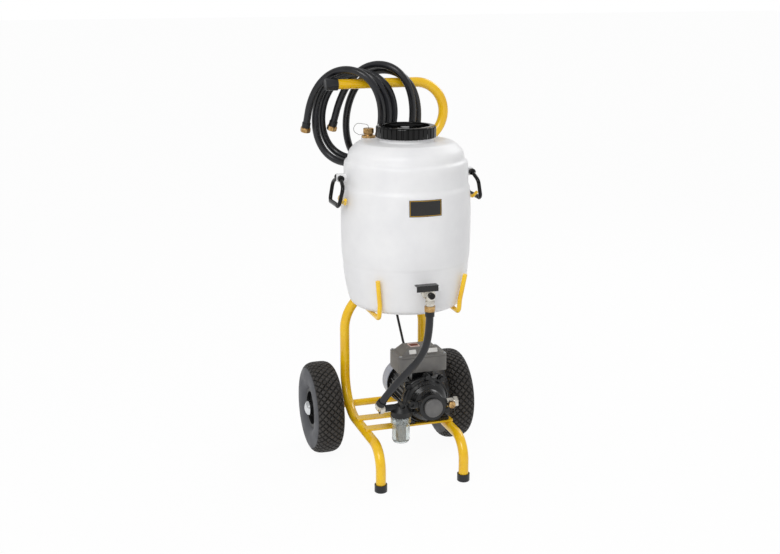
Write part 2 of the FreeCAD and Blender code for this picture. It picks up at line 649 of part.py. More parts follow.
# Ball valve with its tee handle, front plug, elbow and union nut
def make_valve():
    wall = TANK_Y - 163.5
    front = -s.valve_drop_y
    z = s.valve_z
    barrel = turned("valve_barrel", ((5, 0), (10, 0), (10, 2), (15.5, 4), (15.5, 14), (12, 16), (12, 41.3), (5, 41.3)),
                    (0, wall - 0.9, z), "-Y")
    chest = cylinder("valve_chest", 10.5, 28, (0, front, z - 14))
    bonnet = cylinder("valve_bonnet", 6, 10, (0, front, z + 13))
    room = doc.addObject("Part::Sphere", "valve_room")
    room.Radius = 8.1
    place(room, (0, front, z))
    tools = [room, cylinder("valve_stem_hole", 4.0 + s.running_gap, 30, (0, front, z)),
             cylinder("valve_way", 5, 60, (0, wall + 2, z), "-Y"),
             cylinder("valve_way_down", 5, 30, (0, front, z - 30))]
    node("valve_body", cut("valve_body", fuse("valve_outside", [barrel, chest, bonnet]), tools))
    ball = doc.addObject("Part::Sphere", "valve_sphere")
    ball.Radius = 8.0
    place(ball, (0, front, z))
    node("valve_ball", cut("valve_ball", ball, [cylinder("ball_way", 5, 30, (0, front + 15, z), "-Y"),
                                                cylinder("ball_way_down", 5, 20, (0, front, z - 20))]))
    stem = cylinder("valve_stem", 4, 17.3, (0, front, z + 8.05))
    bar = block("valve_bar", 57, 20, 3.5, (-11, front - 5, z + 25))
    plate = block("valve_plate", 57, 3.5, 16, (-11, front - 13.25, z + 12.5))
    node("valve_handle", fuse("valve_handle", [stem, bar, plate]))
    drop = cylinder("elbow_drop", 10.5, 14.5, (0, front, z - 28.8))
    ring = prism("elbow_ring", 6, 13, 6, (0, front, z - 22))
    node("outlet_elbow", cut("outlet_elbow", fuse("elbow_outside", [drop, ring]),
                             [cylinder("elbow_way_down", 7, 20, (0, front, z - 32))]))
    node("valve_front_plug", turned("valve_front_plug", ((0, 1.45), (4.9, 1.45), (4.9, 4), (8.5, 4), (8.5, 9.7),
                                                          (7, 11.2), (0, 11.2)), (0, front - 6.85, z), "-Y"))
    node("union_nut", cut("union_nut", prism("union_hex", 6, 14.5, 14, (0, front, z - 43.1)),
                          [cylinder("union_way", 7, 20, (0, front, z - 46))]))


# Filter with a clear bowl held by a screw collar, fed through an elbow
def make_filter():
    x = s.filter_x
    y = -s.filter_y
    z = s.pipe_z
    seat = s.collar_bottom + 13
    head = [cylinder("head_core", s.collar_radius - 2.5, 6, (x, y, seat)),
            cylinder("head_flange", s.collar_radius, 14, (x, y, seat + 5)),
            cone("head_dome", s.collar_radius, 17, 16, (x, y, seat + 19)),
            cylinder("head_pipe_in", s.pipe_radius, 36, (x - 46, y, z), "X"),
            cylinder("head_pipe_out", s.pipe_radius, 47, (x, y, z), "X"),
            cylinder("head_boss", 8.5, 22, (x + 27, y + 7, z + 6), "-Y"),
            cylinder("head_boss_2", 8.5, 28, (x, y + 7, z + 6), "-Y")]
    tools = [cylinder("head_way", 6, 96, (x - 47, y, z), "X"),
             cylinder("head_well", 11, 30, (x, y, seat - 1)),
             cylinder("boss_eye", 5, 6, (x + 27, y - 11, z + 6), "-Y"),
             cylinder("boss_eye_2", 5, 6, (x, y - 17, z + 6), "-Y")]
    node("filter_head", cut("filter_head", fuse("head_outside", head), tools))
    collar = turned("collar_body", ((s.bowl_radius + 0.4, 0), (s.collar_radius, 0), (s.collar_radius, s.collar_height + 1),
                                    (s.collar_radius - 2.2, s.collar_height + 1), (s.collar_radius - 2.2, 4),
                                    (s.bowl_radius + 0.4, 4)), (x, y, s.collar_bottom))
    lug = block("collar_lug", 8, 9, s.collar_height - 2, (x, y - s.collar_radius - 2.5, s.collar_bottom + 1))
    node("filter_collar", fuse("filter_collar", [collar, lug]))
    r = s.bowl_radius
    drop = s.bowl_bottom
    rise = seat - 0.3 - drop
    node("filter_bowl", turned("filter_bowl", ((0, 0), (r - 8, 0), (r - 2.5, 3), (r, 9), (r, s.collar_bottom + 4.3 - drop),
                                               (r + 1.6, s.collar_bottom + 4.3 - drop), (r + 1.6, rise), (r - 2.5, rise),
                                               (r - 2.5, 10), (r - 5, 5.5), (r - 9, 3), (0, 3)), (x, y, drop)))
    node("filter_strainer", turned("filter_strainer", ((0, 0), (14, 0), (14, rise - 5), (12.8, rise - 5), (12.8, 1.5),
                                                       (0, 1.5)), (x, y, drop + 3.5)))
    corner = Vector(float(INLET_X), float(y), float(z))
    elbow = rod([corner + INLET_WAY * 19, corner, (x - 52, y, z)], [11], 2 * s.pipe_radius)
    hex_z = Part.makeCylinder(11.5, 6, corner + INLET_WAY * 12.5, INLET_WAY)
    ring = Part.makeCylinder(13.5, 10, Vector(float(x) - 61, float(y), float(z)), Vector(1, 0, 0))
    tail = Part.makeCylinder(float(s.pipe_radius), 6.5, Vector(float(x) - 53, float(y), float(z)), Vector(1, 0, 0))
    node("filter_inlet_nut", solid("filter_inlet_nut", elbow.fuse([hex_z, ring, tail])))


def make_motor():
    x = s.motor_x
    z = MOTOR_Z
    back = -MOTOR_BACK
    front = -s.flange_y
    r = s.motor_radius
    start = back - s.cowl_length - 0.3
    length = start - front
    shell = cylinder("motor_shell", r, length, (x, start, z), "-Y")
    fins = []
    for k in range(12):
        turn = Rotation(Vector(0, 1, 0), 7.5 + 15.0 * k)
        fin = doc.addObject("Part::Box", "motor_fin_%d" % k)
        bind(fin, "Length", 2 * (r + s.fin_height))
        fin.Width = float(length) - 34.0
        fin.Height = 2.2
        offset = turn.multVec(Vector(-float(r + s.fin_height), 0, -1.1))
        place(fin, (x + offset.x, front + 16, z + offset.z), turn)
        fins.append(fin)
    feet = [block("motor_foot_%d" % k, 30, s.motor_foot_length + 20, 8,
                  (x + sign * s.motor_foot_width / 2, -s.front_bar_y + s.motor_foot_length / 2, BAR_TOP))
            for k, sign in enumerate((-1, 1))]
    webs = [block("motor_web_%d" % k, 12, s.motor_foot_length + 20, 40,
                  (x + sign * (s.motor_foot_width / 2 - 15), -s.front_bar_y + s.motor_foot_length / 2, BAR_TOP))
            for k, sign in enumerate((-1, 1))]
    neck = block("motor_neck", 60, 70, s.box_z - z - 0.05, (x, -s.box_front_y + s.box_depth / 2, z))
    tools = [cylinder("motor_room", r - 6, length - 16, (x, start - 8, z), "-Y"),
             cylinder("motor_bore", s.rotor_radius + 0.1, length + 20, (x, start + 10, z), "-Y")]
    tools += [cylinder("foot_bolt_hole_%d_%d" % (k, n), 4.1, 14,
                       (x + sign * s.motor_foot_width / 2, -s.front_bar_y + n * s.motor_foot_length, BAR_TOP - 2))
              for k, sign in enumerate((-1, 1)) for n in (0, 1)]
    tools.append(cylinder("flange_room", s.flange_radius + 0.5, 30, (x, front, z), "-Y"))
    tools += [cylinder("ear_room_%d" % k, 10.5, 30, (x + a, front, z + b), "-Y") for k, (a, b) in enumerate(BOLTS)]
    shield = cylinder("cowl_seat", s.cowl_radius - 1.9, 10, (x, start + 8, z), "-Y")
    node("motor_housing", cut("motor_housing", fuse("motor_outside", [shell, neck, shield] + fins + feet + webs), tools))
    c = s.cowl_radius
    deep = s.cowl_length
    cowl = turned("cowl_shell", ((c, 0), (c, deep - 6), (c - 2, deep - 2), (c - 6, deep), (0, deep), (0, deep - 1.6),
                                 (c - 6.5, deep - 1.6), (c - 1.6, deep - 6), (c - 1.6, 0)), (x, back - deep, z), "Y")
    slots = []
    for k in range(12):
        turn = Rotation(Vector(0, 1, 0), 30.0 * k)
        offset = turn.multVec(Vector(14, 0, -2.5))
        slot = doc.addObject("Part::Box", "cowl_slot_%d" % k)
        slot.Length = 34.0
        slot.Width = 6.0
        slot.Height = 5.0
        place(slot, (x + offset.x, back - 4, z + offset.z), turn)
        slots.append(slot)
    node("fan_cowl", cut("fan_cowl", cowl, slots))
    hub = cylinder("fan_hub", 13, 22, (x, back - 10, z), "-Y")
    blades = []
    for k in range(8):
        turn = Rotation(Vector(0, 1, 0), 45.0 * k)
        offset = turn.multVec(Vector(11, 0, -1))
        blade = doc.addObject("Part::Box", "fan_blade_%d" % k)
        blade.Length = 38.0
        blade.Width = 20.0
        blade.Height = 2.0
        place(blade, (x + offset.x, back - 31, z + offset.z), turn)
        blades.append(blade)
    node("motor_fan", cut("motor_fan", fuse("fan_solid", [hub] + blades),
                          [cylinder("fan_bore", s.rotor_radius + 0.02, 30, (x, back - 6, z), "-Y")]))
    shaft = cylinder("shaft_bar", s.rotor_radius, s.flange_y + 60 - MOTOR_BACK - 12, (x, back - 12, z), "-Y")
    core = cylinder("rotor_core", 30, 90, (x, start - 28, z), "-Y")
    node("rotor_shaft", fuse("rotor_shaft", [shaft, core]))


def make_pump():
    x = s.motor_x
    z = MOTOR_Z
    rear = -s.flange_y - 0.3
    t = s.flange_thickness
    nose = s.nose_radius
    deep = s.pump_front_y - s.flange_y - 0.3
    r = s.flange_radius
    casing = turned("pump_casing", ((0, 0), (r, 0), (r, t - 1.5), (r - 1.5, t), (r - 5, t),
                                    (r - 9, t + 5), (r - 9, t + 9), (51, t + 16), (51, t + 21), (41, t + 30),
                                    (nose + 1, t + 36), (nose, t + 40), (nose, deep), (0, deep)),
                    (x, rear, z), "-Y")
    ears = []
    holes = []
    for k, (a, b) in enumerate(BOLTS):
        ears.append(cylinder("pump_ear_%d" % k, 10, t - 0.6, (x + a, rear - 0.6, z + b), "-Y"))
        holes.append(cylinder("pump_ear_hole_%d" % k, 4.1, t + 4, (x + a, rear + 1, z + b), "-Y"))
        holes.append(cylinder("pump_ear_seat_%d" % k, 8.2, 21.5, (x + a, rear - t, z + b), "-Y"))
    inlet = cylinder("pump_inlet", s.pipe_radius + 2, 30, (s.filter_x + 47.4, -s.filter_y, s.pipe_z), "X")
    outlet = cylinder("pump_outlet", 13, 19, (x + 26, OUTLET[1], OUTLET[2]), "X")
    room = cylinder("pump_room", 34, 28, (x, rear - deep + 34, z), "-Y")
    below = block("bar_room", 200, 60, 30, (x, -s.front_bar_y, BAR_TOP + s.seat_gap - 30))
    ways = [cylinder("pump_bore", s.rotor_radius + 0.3, deep - 30, (x, rear + 1, z), "-Y")]
    ways.append(cylinder("pump_way_in", 6, 40, (s.filter_x + 46, -s.filter_y, s.pipe_z), "X"))
    ways.append(cylinder("pump_way_out", 6, 60, (x + 20, OUTLET[1], OUTLET[2]), "X"))
    outside = fuse("pump_outside", [casing, inlet, outlet] + ears, False)
    body = cut("pump_bored", cut("pump_roomy", outside, [room]), ways)
    node("pump_housing", cut("pump_housing", cut("pump_trimmed", body, [below]), holes))
    node("pump_cover", turned("pump_cover", ((0, 0.05), (s.cover_radius, 0.05), (s.cover_radius, s.cover_depth - 1.5),
                                             (s.cover_radius - 1.5, s.cover_depth), (0, s.cover_depth)),
                              (x, -s.pump_front_y, z), "-Y"))
    y = -s.flange_y - 46
    wheel = cylinder("impeller_disc", 31, 4, (x, y, z), "-Y")
    blades = []
    for k in range(6):
        turn = Rotation(Vector(0, 1, 0), 60.0 * k)
        offset = turn.multVec(Vector(9, 0, -1))
        blade = doc.addObject("Part::Box", "impeller_blade_%d" % k)
        blade.Length = 21.0
        blade.Width = 12.0
        blade.Height = 2.0
        place(blade, (x + offset.x, y - 14, z + offset.z), turn)
        blades.append(blade)
    hub = cylinder("impeller_hub", 11, 15, (x, y, z), "-Y")
    node("pump_impeller", cut("pump_impeller", fuse("impeller_solid", [wheel, hub] + blades),
                              [cylinder("impeller_bore", s.rotor_radius + 0.02, 20, (x, y + 2, z), "-Y")]))
    bolts = []
    for k, (a, b) in enumerate(BOLTS):
        head = prism("bolt_head_%d" % k, 6, 7.2, 5.5, (x + a, rear - t, z + b), "-Y")
        shank = cylinder("bolt_shank_%d" % k, 4, t + 0.5, (x + a, rear, z + b), "-Y")
        bolts.append(fuse("pump_bolt_%d" % k, [head, shank]))
    for k, sign in enumerate((-1, 1)):
        for n in (0, 1):
            spot = (x + sign * s.motor_foot_width / 2, -s.front_bar_y + n * s.motor_foot_length, BAR_TOP + 8)
            head = prism("foot_bolt_head_%d_%d" % (k, n), 6, 7.2, 5.5, spot)
            shank = cylinder("foot_bolt_shank_%d_%d" % (k, n), 4, t + 0.5, moved(spot, dz=-t - 0.5))
            bolts.append(fuse("foot_bolt_%d_%d" % (k, n), [head, shank]))
    node("housing_screws", group("housing_screws", bolts))
    a, b, c = OUTLET
    run = cylinder("outlet_run", 12, 20, (x + 45.3, b, c), "X")
    hexa = prism("outlet_hex", 6, 15, 11.2, (x + 64.8, b, c), "X")
    branch = cylinder("outlet_branch", 9.5, 14.4, (a, b, c), "-Y")
    node("outlet_fitting", cut("outlet_fitting", fuse("outlet_outside", [run, hexa, branch]),
                               [cylinder("outlet_way", 6, 60, (x + 40, b, c), "X")]))
    node("outlet_cap", turned("outlet_cap", ((0, 0), (9.5, 0), (9.5, 8.5), (8.5, 9.5), (0, 9.5)), (a, b - 14.9, c), "-Y"))


def make_junction_box():
    x = s.motor_x
    y = -s.box_front_y + s.box_depth / 2
    w = s.box_wall
    shell = padded("box_shell", rectangle(s.box_width / 2, s.box_depth / 2), s.box_height, (x, y, s.box_z))
    soften(shell, "box_corners", upright_edges(shell.Shape), 6)
    room = block("box_room", s.box_width - 2 * w, s.box_depth - 2 * w, s.box_height, (x, y, s.box_z + w))
    posts = [cylinder("box_post_%d_%d" % (i, j), 4.5, s.box_height,
                      (x + i * (s.box_width / 2 - 8), y + j * (s.box_depth / 2 - 8), s.box_z))
             for i in (-1, 1) for j in (-1, 1)]
    holes = [cylinder("box_gland_hole", 8.05, 10, (x - 7, y + s.box_depth / 2 - 5, s.box_z + 21), "Y")]
    node("junction_box", cut("junction_box", fuse("box_outside", [cut("box_hollow", shell, [room])] + posts), holes))
    z = s.box_z + s.box_height + 0.05
    rim = padded("lid_plate", rectangle(s.box_width / 2, s.box_depth / 2), s.lid_rim, (x, y, z))
    soften(rim, "lid_plate_corners", upright_edges(rim.Shape), 6)
    roof = doc.addObject("Part::Wedge", "lid_roof")
    span = s.box_width - 22
    depth = s.box_depth - 12
    for prop, amount in (("Xmin", 0), ("Ymin", 0), ("Zmin", 0), ("X2min", 12), ("Z2min", 10),
                         ("Xmax", span), ("Ymax", s.lid_rise), ("Zmax", depth), ("X2max", span - 16),
                         ("Z2max", depth - 10)):
        bind(roof, prop, amount)
    place(roof, (x - span / 2, y + depth / 2, z + s.lid_rim), Rotation(Vector(1, 0, 0), 90))
    hollow = block("lid_hollow", s.box_width - 46, s.box_depth - 44, s.lid_rim + s.lid_rise - 3, (x - 2, y, z))
    top = z + s.lid_rim + s.lid_rise
    well = block("switch_well", 22.6, 22.4, 22, (SWITCH[0], SWITCH[1], top - 18))
    node("junction_lid", cut("junction_lid", fuse("lid_outside", [rim, roof]), [hollow, well]))
    rocker = cylinder("rocker_round", 14, 22, (SWITCH[0] - 11, SWITCH[1], top - 10.5), "X")
    tilt = Rotation(Vector(1, 0, 0), -7)
    corner = tilt.multVec(Vector(-11, -8.8, -3.5))
    key = doc.addObject("Part::Box", "rocker_key")
    key.Length = 22.0
    key.Width = 17.6
    key.Height = 20.0
    place(key, (SWITCH[0] + corner.x, SWITCH[1] + corner.y, top - 10.5 + corner.z), tilt)
    common = doc.addObject("Part::MultiCommon", "rocker_shape")
    common.Shapes = [rocker, key]
    node("power_switch", common)
    gland_y = y + s.box_depth / 2
    node("cable_gland", turned("cable_gland", ((s.cord_diameter / 2 + 0.2, -8), (8, -8), (8, 0.05), (11, 0.05), (11, 9),
                                                (8, 16), (s.cord_diameter / 2 + 0.2, 16)),
                               (x - 7, gland_y, s.box_z + 21), "Y"))


def free_run(points):
    """Radii for the corners of a free cord: as round as the shorter run beside each corner lets it be."""
    corners = [Vector(*[float(amount) for amount in point]) for point in points]
    radii = []
    for index in range(1, len(corners) - 1):
        before = corners[index] - corners[index - 1]
        after = corners[index + 1] - corners[index]
        half = before.getAngle(after) / 2
        radii.append(0.45 * min(before.Length, after.Length) / math.tan(half))
    return radii


def free_cord(name, points, diameter):
    radii = free_run(points)
    made = rod(points, radii, diameter)
    path, start, first = rounded_path(points, radii)
    print("%s: length %.0f, tightest bend %.0f" % (name, path.Length, min(radii)))
    return made


def biarc_path(points, tangents, lead, tail):
    """Arcs through the points along the tangents, with a straight lead and tail."""
    edges = []
    if lead:
        edges.append(Part.LineSegment(points[0] - tangents[0] * lead, points[0]).toShape())
    for index in range(len(points) - 1):
        p1, p2 = points[index], points[index + 1]
        t1, t2 = tangents[index], tangents[index + 1]
        v = p2 - p1
        t = t1 + t2
        rest = 2 * (1 - t1.dot(t2))
        if rest < 1e-9:
            reach = v.dot(v) / (4 * v.dot(t2))
        else:
            reach = (-v.dot(t) + math.sqrt(v.dot(t) ** 2 + rest * v.dot(v))) / rest
        joint = (p1 + p2 + (t1 - t2) * reach) * 0.5
        for start, end, along in ((p1, joint, t1), (joint, p2, None)):
            chord = end - start
            if along is None:
                along = (joint - (p1 + t1 * reach)).normalize()
            normal = chord.cross(along)
            if normal.Length < 1e-6 * chord.Length:
                edges.append(Part.LineSegment(start, end).toShape())
                continue
            angle = along.getAngle(chord)
            outward = along * chord.Length - chord * along.dot(chord) / chord.Length
            outward.normalize()
            middle = (start + end) * 0.5 + outward * (chord.Length / 2 * math.tan(angle / 2))
            edges.append(Part.Arc(start, middle, end).toShape())
    if tail:
        edges.append(Part.LineSegment(points[-1], points[-1] + tangents[-1] * tail).toShape())
    return Part.Wire(edges)


def wound(name, rule, first, last, per_turn, diameter, lead, tail):
    """A coil as one tube: rule(angle) gives the middle of the cord."""
    count = int(round((last - first) / 360.0 * per_turn))
    angles = [first + (last - first) * k / count for k in range(count + 1)]
    points = [Vector(*rule(angle)) for angle in angles]
    tangents = [(Vector(*rule(angle + 0.5)) - Vector(*rule(angle - 0.5))).normalize() for angle in angles]
    path = biarc_path(points, tangents, lead, tail)
    samples = path.discretize(int(path.Length / 4))
    step = path.Length / (len(samples) - 1)
    skip = int(3.0 * diameter / step)
    least = min((samples[i] - samples[j]).Length for i in range(len(samples))
                for j in range(i + skip, len(samples))) - diameter
    begin = points[0] - tangents[0] * lead
    made = swept(path, begin, tangents[0], diameter / 2)
    print("%s: length %.0f, least gap to itself %.2f, volume against section times length %.4f" % (
        name, path.Length, least, made.Volume / (math.pi * diameter ** 2 / 4 * path.Length)))
    return made, (begin, tangents[0]), (points[-1] + tangents[-1] * tail, tangents[-1])


# A hose loop that hangs over the handle bar: it rises behind the bar and comes down in front of it
def hose_rule(middle, wide, high, shrink, deep, sharp, swing, step, flare):
    def rule(angle):
        turn = math.radians(angle)
        passed = (angle + 98.0) / 360.0
        beside = passed - 1.375
        side = math.sin(turn)
        out = flare * max(0.0, 1.0 - passed / 0.25) ** 2
        x = middle[0] + wide * side + step[0] * beside - out
        y = middle[1] - deep * math.tanh(sharp * side) / math.tanh(sharp) + swing * (1 - math.cos(turn))
        z = middle[2] + (high - shrink * passed) * math.cos(turn) + step[2] * beside
        return (x, y + step[1] * beside, z)
    return rule


def hose_fitting(end, way):
    """A ferrule over the hose end and a union nut in front of it, along the given way."""
    ferrule = Part.makeCylinder(12, 14, end - way * 14, way)
    sleeve = ferrule.cut(Part.makeCylinder(float(s.hose_diameter) / 2 + 0.05, 14, end - way * 14, way))
    nut = Part.makeCylinder(14.5, 13, end + way * 0.3, way)
    nut = nut.cut(Part.makeCylinder(10.5, 11, end + way * 3, way)).cut(Part.makeCylinder(6, 20, end - way, way))
    lip = Part.makeCylinder(12, 0.3, end, way).cut(Part.makeCylinder(6, 1, end - way * 0.2, way))
    return sleeve.fuse(lip).fuse(nut)


def make_hoses():
    d = float(s.hose_diameter)
    y = float(s.upright_y)
    left = hose_rule((-79.9, y + 0.8, 948.1), 80.0, 136.3, 7.7, 65.1, 1.2, 36.3, (23.2, 15.6, 2.1), 4.0)
    right = hose_rule((15.1, y + 19.1, 932.2), 80.0, 150.4, 8.2, 65.2, 1.5, 42.9, (22.0, 21.8, -9.3), 19.0)
    fittings = []
    for name, rule, last in (("flushing_hose_left", left, 890.0), ("flushing_hose_right", right, 530.0)):
        made, begin, end = wound(name, rule, -94.0, last, 8, d, d, d)
        node(name, solid(name, made))
        fittings.append(hose_fitting(begin[0], begin[1] * -1))
        fittings.append(hose_fitting(end[0], end[1]))
    node("flushing_hose_ends", solid("flushing_hose_ends", Part.makeCompound(fittings)))
    top = Vector(0, -float(s.valve_drop_y), float(s.valve_z) - 43.4)
    foot = Vector(float(INLET_X), -float(s.filter_y), float(s.pipe_z)) + INLET_WAY * 19.3
    run = [top, (0, top.y, 440), (-15, -360, 375), (-55, -325, 315), foot + INLET_WAY * 45, foot]
    node("suction_hose", solid("suction_hose", free_cord("suction_hose", run, s.hose_diameter)))
    rings = []
    for spot, way in ((top, Vector(0, 0, -1)), (foot, INLET_WAY)):
        rings.append(Part.makeCylinder(12.2, 13, spot, way).cut(Part.makeCylinder(d / 2 + 0.05, 13, spot, way)))
    node("suction_hose_ferrules", solid("suction_hose_ferrules", Part.makeCompound(rings)))


# Mains lead: from the gland under the arch to a put-away coil on the hook, with the plug beside it
def make_mains():
    d = float(s.cord_diameter)
    radius = float(s.cord_coil_radius)
    turns = float(s.cord_coil_turns)
    pitch = d + 0.7
    mid_y = float(s.upright_y) + float(TUBE_R) + 6
    mid_z = float(s.hook_z) + 3.3 + d / 2 - (radius - pitch / 2)

    def rule(angle):
        passed = angle / 360.0
        half = turns / 2
        blend = min(1.0, max(0.0, (passed - half - 0.05) / 0.5))
        smooth = blend * blend * (3 - 2 * blend)
        reach = radius + pitch * (smooth - 0.5)
        along = min(passed, 2 * half + 0.6 - passed)
        soft = half + 0.1
        if along > soft:
            along = soft + (along - soft) * 0.5
        turn = math.radians(angle - 90.0)
        return (reach * math.cos(turn), mid_y + pitch * along, mid_z + reach * math.sin(turn))

    made, begin, end = wound("mains_cord_coil", rule, 90.0, 90.0 + 360.0 * (turns - 0.5), 8, d, 0, 0)
    node("mains_cord_coil", solid("mains_cord_coil", made))
    a = begin[0]
    gland = (float(s.motor_x) - 7, -float(s.box_front_y) + float(s.box_depth), float(s.box_z) + 21)
    run = [(gland[0], gland[1] - 4, gland[2]), (gland[0], gland[1] + 50, gland[2]), (gland[0] - 2, -20, 345),
           (gland[0] - 3, 20, 395), (gland[0] - 1, 42, 455), (a.x, a.y, a.z - 55), (a.x, a.y, a.z)]
    first = free_cord("mains_cord", run, s.cord_diameter)
    c = end[0]
    px, py, pz = c.x - 3, c.y + 10, c.z - 115
    tail = [(c.x, c.y, c.z), (c.x, c.y, c.z - 35), (px, py, c.z - 70), (px, py, pz)]
    second = free_cord("mains_cord_tail", tail, s.cord_diameter)
    node("mains_cord", solid("mains_cord", Part.makeCompound([first, second])))
    plug = Part.makeCylinder(10, 22, Vector(px, py, pz - 12), Vector(0, 0, 1))
    plug = plug.fuse([Part.makeCone(19, 10, 14, Vector(px, py, pz - 26), Vector(0, 0, 1)),
                      Part.makeCylinder(19, 14, Vector(px, py, pz - 40), Vector(0, 0, 1))])
    plug = plug.cut(Part.makeCylinder(d / 2 + 0.05, 12, Vector(px, py, pz - 0.2), Vector(0, 0, 1)))
    pins = [Part.makeCylinder(2.4, 20, Vector(px + sign * 9.5, py, pz - 59), Vector(0, 0, 1)) for sign in (-1, 1)]
    node("mains_plug", solid("mains_plug", plug.fuse(pins)))


HOOK_SIZES = (("hook_z", 604.0), ("hook_reach", 48.0))
for offset, (alias, value) in enumerate(HOOK_SIZES):
    cell = "B%d" % (len(SIZES) + 1 + offset)
    sheet.set(cell, str(value))
    sheet.setAlias(cell, alias)
doc.recompute()
for alias, value in HOOK_SIZES:
    setattr(s, alias, Size("Sizes.%s" % alias, value))

OUTLET = (s.motor_x + 54.5, -s.flange_y - 54, MOTOR_Z + 2)
INLET_X = s.filter_x - 68
INLET_WAY = Vector(0.35, -0.45, 0.82).normalize()
BOLTS = ((4.0, 66.0), (47.0, 56.0), (62.0, -36.0), (1.0, -54.0), (-50.0, 45.0), (-60.0, -30.0))
SWITCH = (s.motor_x - 14, -s.box_front_y + s.box_depth / 2)

make_frame_tube()
make_handle_tube()
make_end_caps()
make_axle()
make_wheel("left", -1)
make_wheel("right", 1)
make_crossbars()
make_cradle()
make_hoop()
make_tank()
make_lid()
make_port()
make_tank_handles()
make_valve()
make_filter()
make_motor()
make_pump()
make_junction_box()
make_hoses()
make_mains()

# Every sub-part stands behind the middle of the cart's box by the same step
for label, made in NODES.items():
    here = made.Placement.Base
    words = [text for path, text in made.ExpressionEngine if path == ".Placement.Base.y"]
    words = words or [text for path, text in made.ExpressionEngine if path == "Placement.Base.y"]
    start = "(%s)" % words[0] if words else "%.6f" % here.y
    made.Placement = Placement(Vector(here.x, here.y + float(AXLE_SETBACK), here.z), made.Placement.Rotation)
    made.setExpression("Placement.Base.y", "%s + %s" % (start, AXLE_SETBACK.text))
doc.recompute()

wrong = []
for made in doc.Objects:
    if "Invalid" in made.State or "Error" in made.State:
        wrong.append(made.Name)
for label, made in NODES.items():
    shape = made.Shape
    if shape.isNull() or not shape.isValid() or shape.Volume <= 0:
        wrong.append(label)
if wrong:
    raise RuntimeError("not sound: " + ", ".join(wrong))
os.makedirs("parts", exist_ok=True)
for label, made in NODES.items():
    made.Shape.exportStep("parts/%s.step" % label)
    box = made.Shape.BoundBox
    print("%-24s solids %d volume %9.0f  x %.1f %.1f  y %.1f %.1f  z %.1f %.1f" % (
        label, len(made.Shape.Solids), made.Shape.Volume, box.XMin, box.XMax, box.YMin, box.YMax, box.ZMin, box.ZMax))
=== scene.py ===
# %% [markdown]
# A filling and flushing cart: a bent steel tube on two air wheels carries a 35 litre tank, a
# motor with a pump, and the hoses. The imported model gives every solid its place. This lesson
# gives each of them its surface, and models the soft and moulded pieces more finely.

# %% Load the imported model
import math

import bmesh
import bpy
import numpy as np
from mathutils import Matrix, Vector


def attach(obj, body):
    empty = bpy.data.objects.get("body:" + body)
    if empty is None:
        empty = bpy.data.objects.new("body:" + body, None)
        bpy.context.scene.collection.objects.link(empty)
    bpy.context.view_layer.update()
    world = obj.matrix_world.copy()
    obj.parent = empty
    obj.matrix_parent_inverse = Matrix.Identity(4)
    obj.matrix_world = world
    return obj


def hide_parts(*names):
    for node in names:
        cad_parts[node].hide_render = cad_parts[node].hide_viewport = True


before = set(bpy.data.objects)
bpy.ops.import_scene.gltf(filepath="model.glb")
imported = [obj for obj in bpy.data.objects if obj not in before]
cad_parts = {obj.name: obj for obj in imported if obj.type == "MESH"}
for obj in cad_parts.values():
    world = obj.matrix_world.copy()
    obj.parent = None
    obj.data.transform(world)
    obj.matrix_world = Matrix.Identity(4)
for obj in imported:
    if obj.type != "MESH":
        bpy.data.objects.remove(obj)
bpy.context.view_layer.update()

# %% [markdown]
# The drawing is in millimetres and counts y from the wheel axle, so that the numbers are easy
# to check against the real cart. One function turns such points into the frame's metres.

# %% Millimetres from the axle
AXLE_Y = 130.275
AXLE_HEIGHT = 130
HALF_TRACK = 193.5
HOSE = 0.020
LEAD = 0.007


def metres(points):
    """Points in millimetres, y from the axle, as an array in metres: (point + axle) / 1000."""
    return (np.asarray(points, float) + (0.0, AXLE_Y, 0.0)) / 1000


# %% [markdown]
# The camera stands where the photographer stood: a little to the left of the cart, looking
# down by 14.6 degrees. A camera could be turned by hand, but aiming it at a point keeps the
# numbers few: where it is, what it looks at, and its lens.

# %% Camera
camera = bpy.data.objects.new("camera", bpy.data.cameras.new("camera"))
bpy.context.collection.objects.link(camera)
eye = metres((-986.7, -3114.8, 1348.5))
aim = metres((-18.8, -100.0, 523.7))
camera.location = eye
camera.rotation_euler = Vector(aim - eye).to_track_quat("-Z", "Y").to_euler()
camera.data.lens = 55.06
camera.data.sensor_width = 36.0
bpy.context.scene.camera = camera
print("camera to cart: %.2f m" % np.linalg.norm(aim - eye))

# %% [markdown]
# Colours are written as sRGB hex values, as a paint chart gives them, and Blender's shaders
# want linear light, so one function converts them. A second one adds a shader node with its
# settings and links, so that a material reads as a short list of steps.


# %% Colour and node helpers
def linear(text):
    """An sRGB hex colour as linear red, green, blue and an alpha of 1."""
    code = np.array([int(text[k:k + 2], 16) for k in (0, 2, 4)]) / 255
    light = np.where(code <= 0.04045, code / 12.92, ((code + 0.055) / 1.055) ** 2.4)
    return (float(light[0]), float(light[1]), float(light[2]), 1.0)


def add(tree, kind, settings=(), links=()):
    """A new node: settings fill its properties or sockets, links join its sockets to outputs."""
    made = tree.nodes.new(kind)
    for key, value in dict(settings).items():
        if isinstance(key, int) or key in made.inputs:
            made.inputs[key].default_value = value
        else:
            setattr(made, key, value)
    for key, value in dict(links).items():
        tree.links.new(value, made.inputs[key])
    return made


# %% [markdown]
# Most finishes here are paint, moulded plastic, rubber or plated metal. All of them are one
# colour that wanders a little in large patches, a roughness that wanders with it, and a fine
# grain in the surface. The sizes of patch and grain are real ones in millimetres.


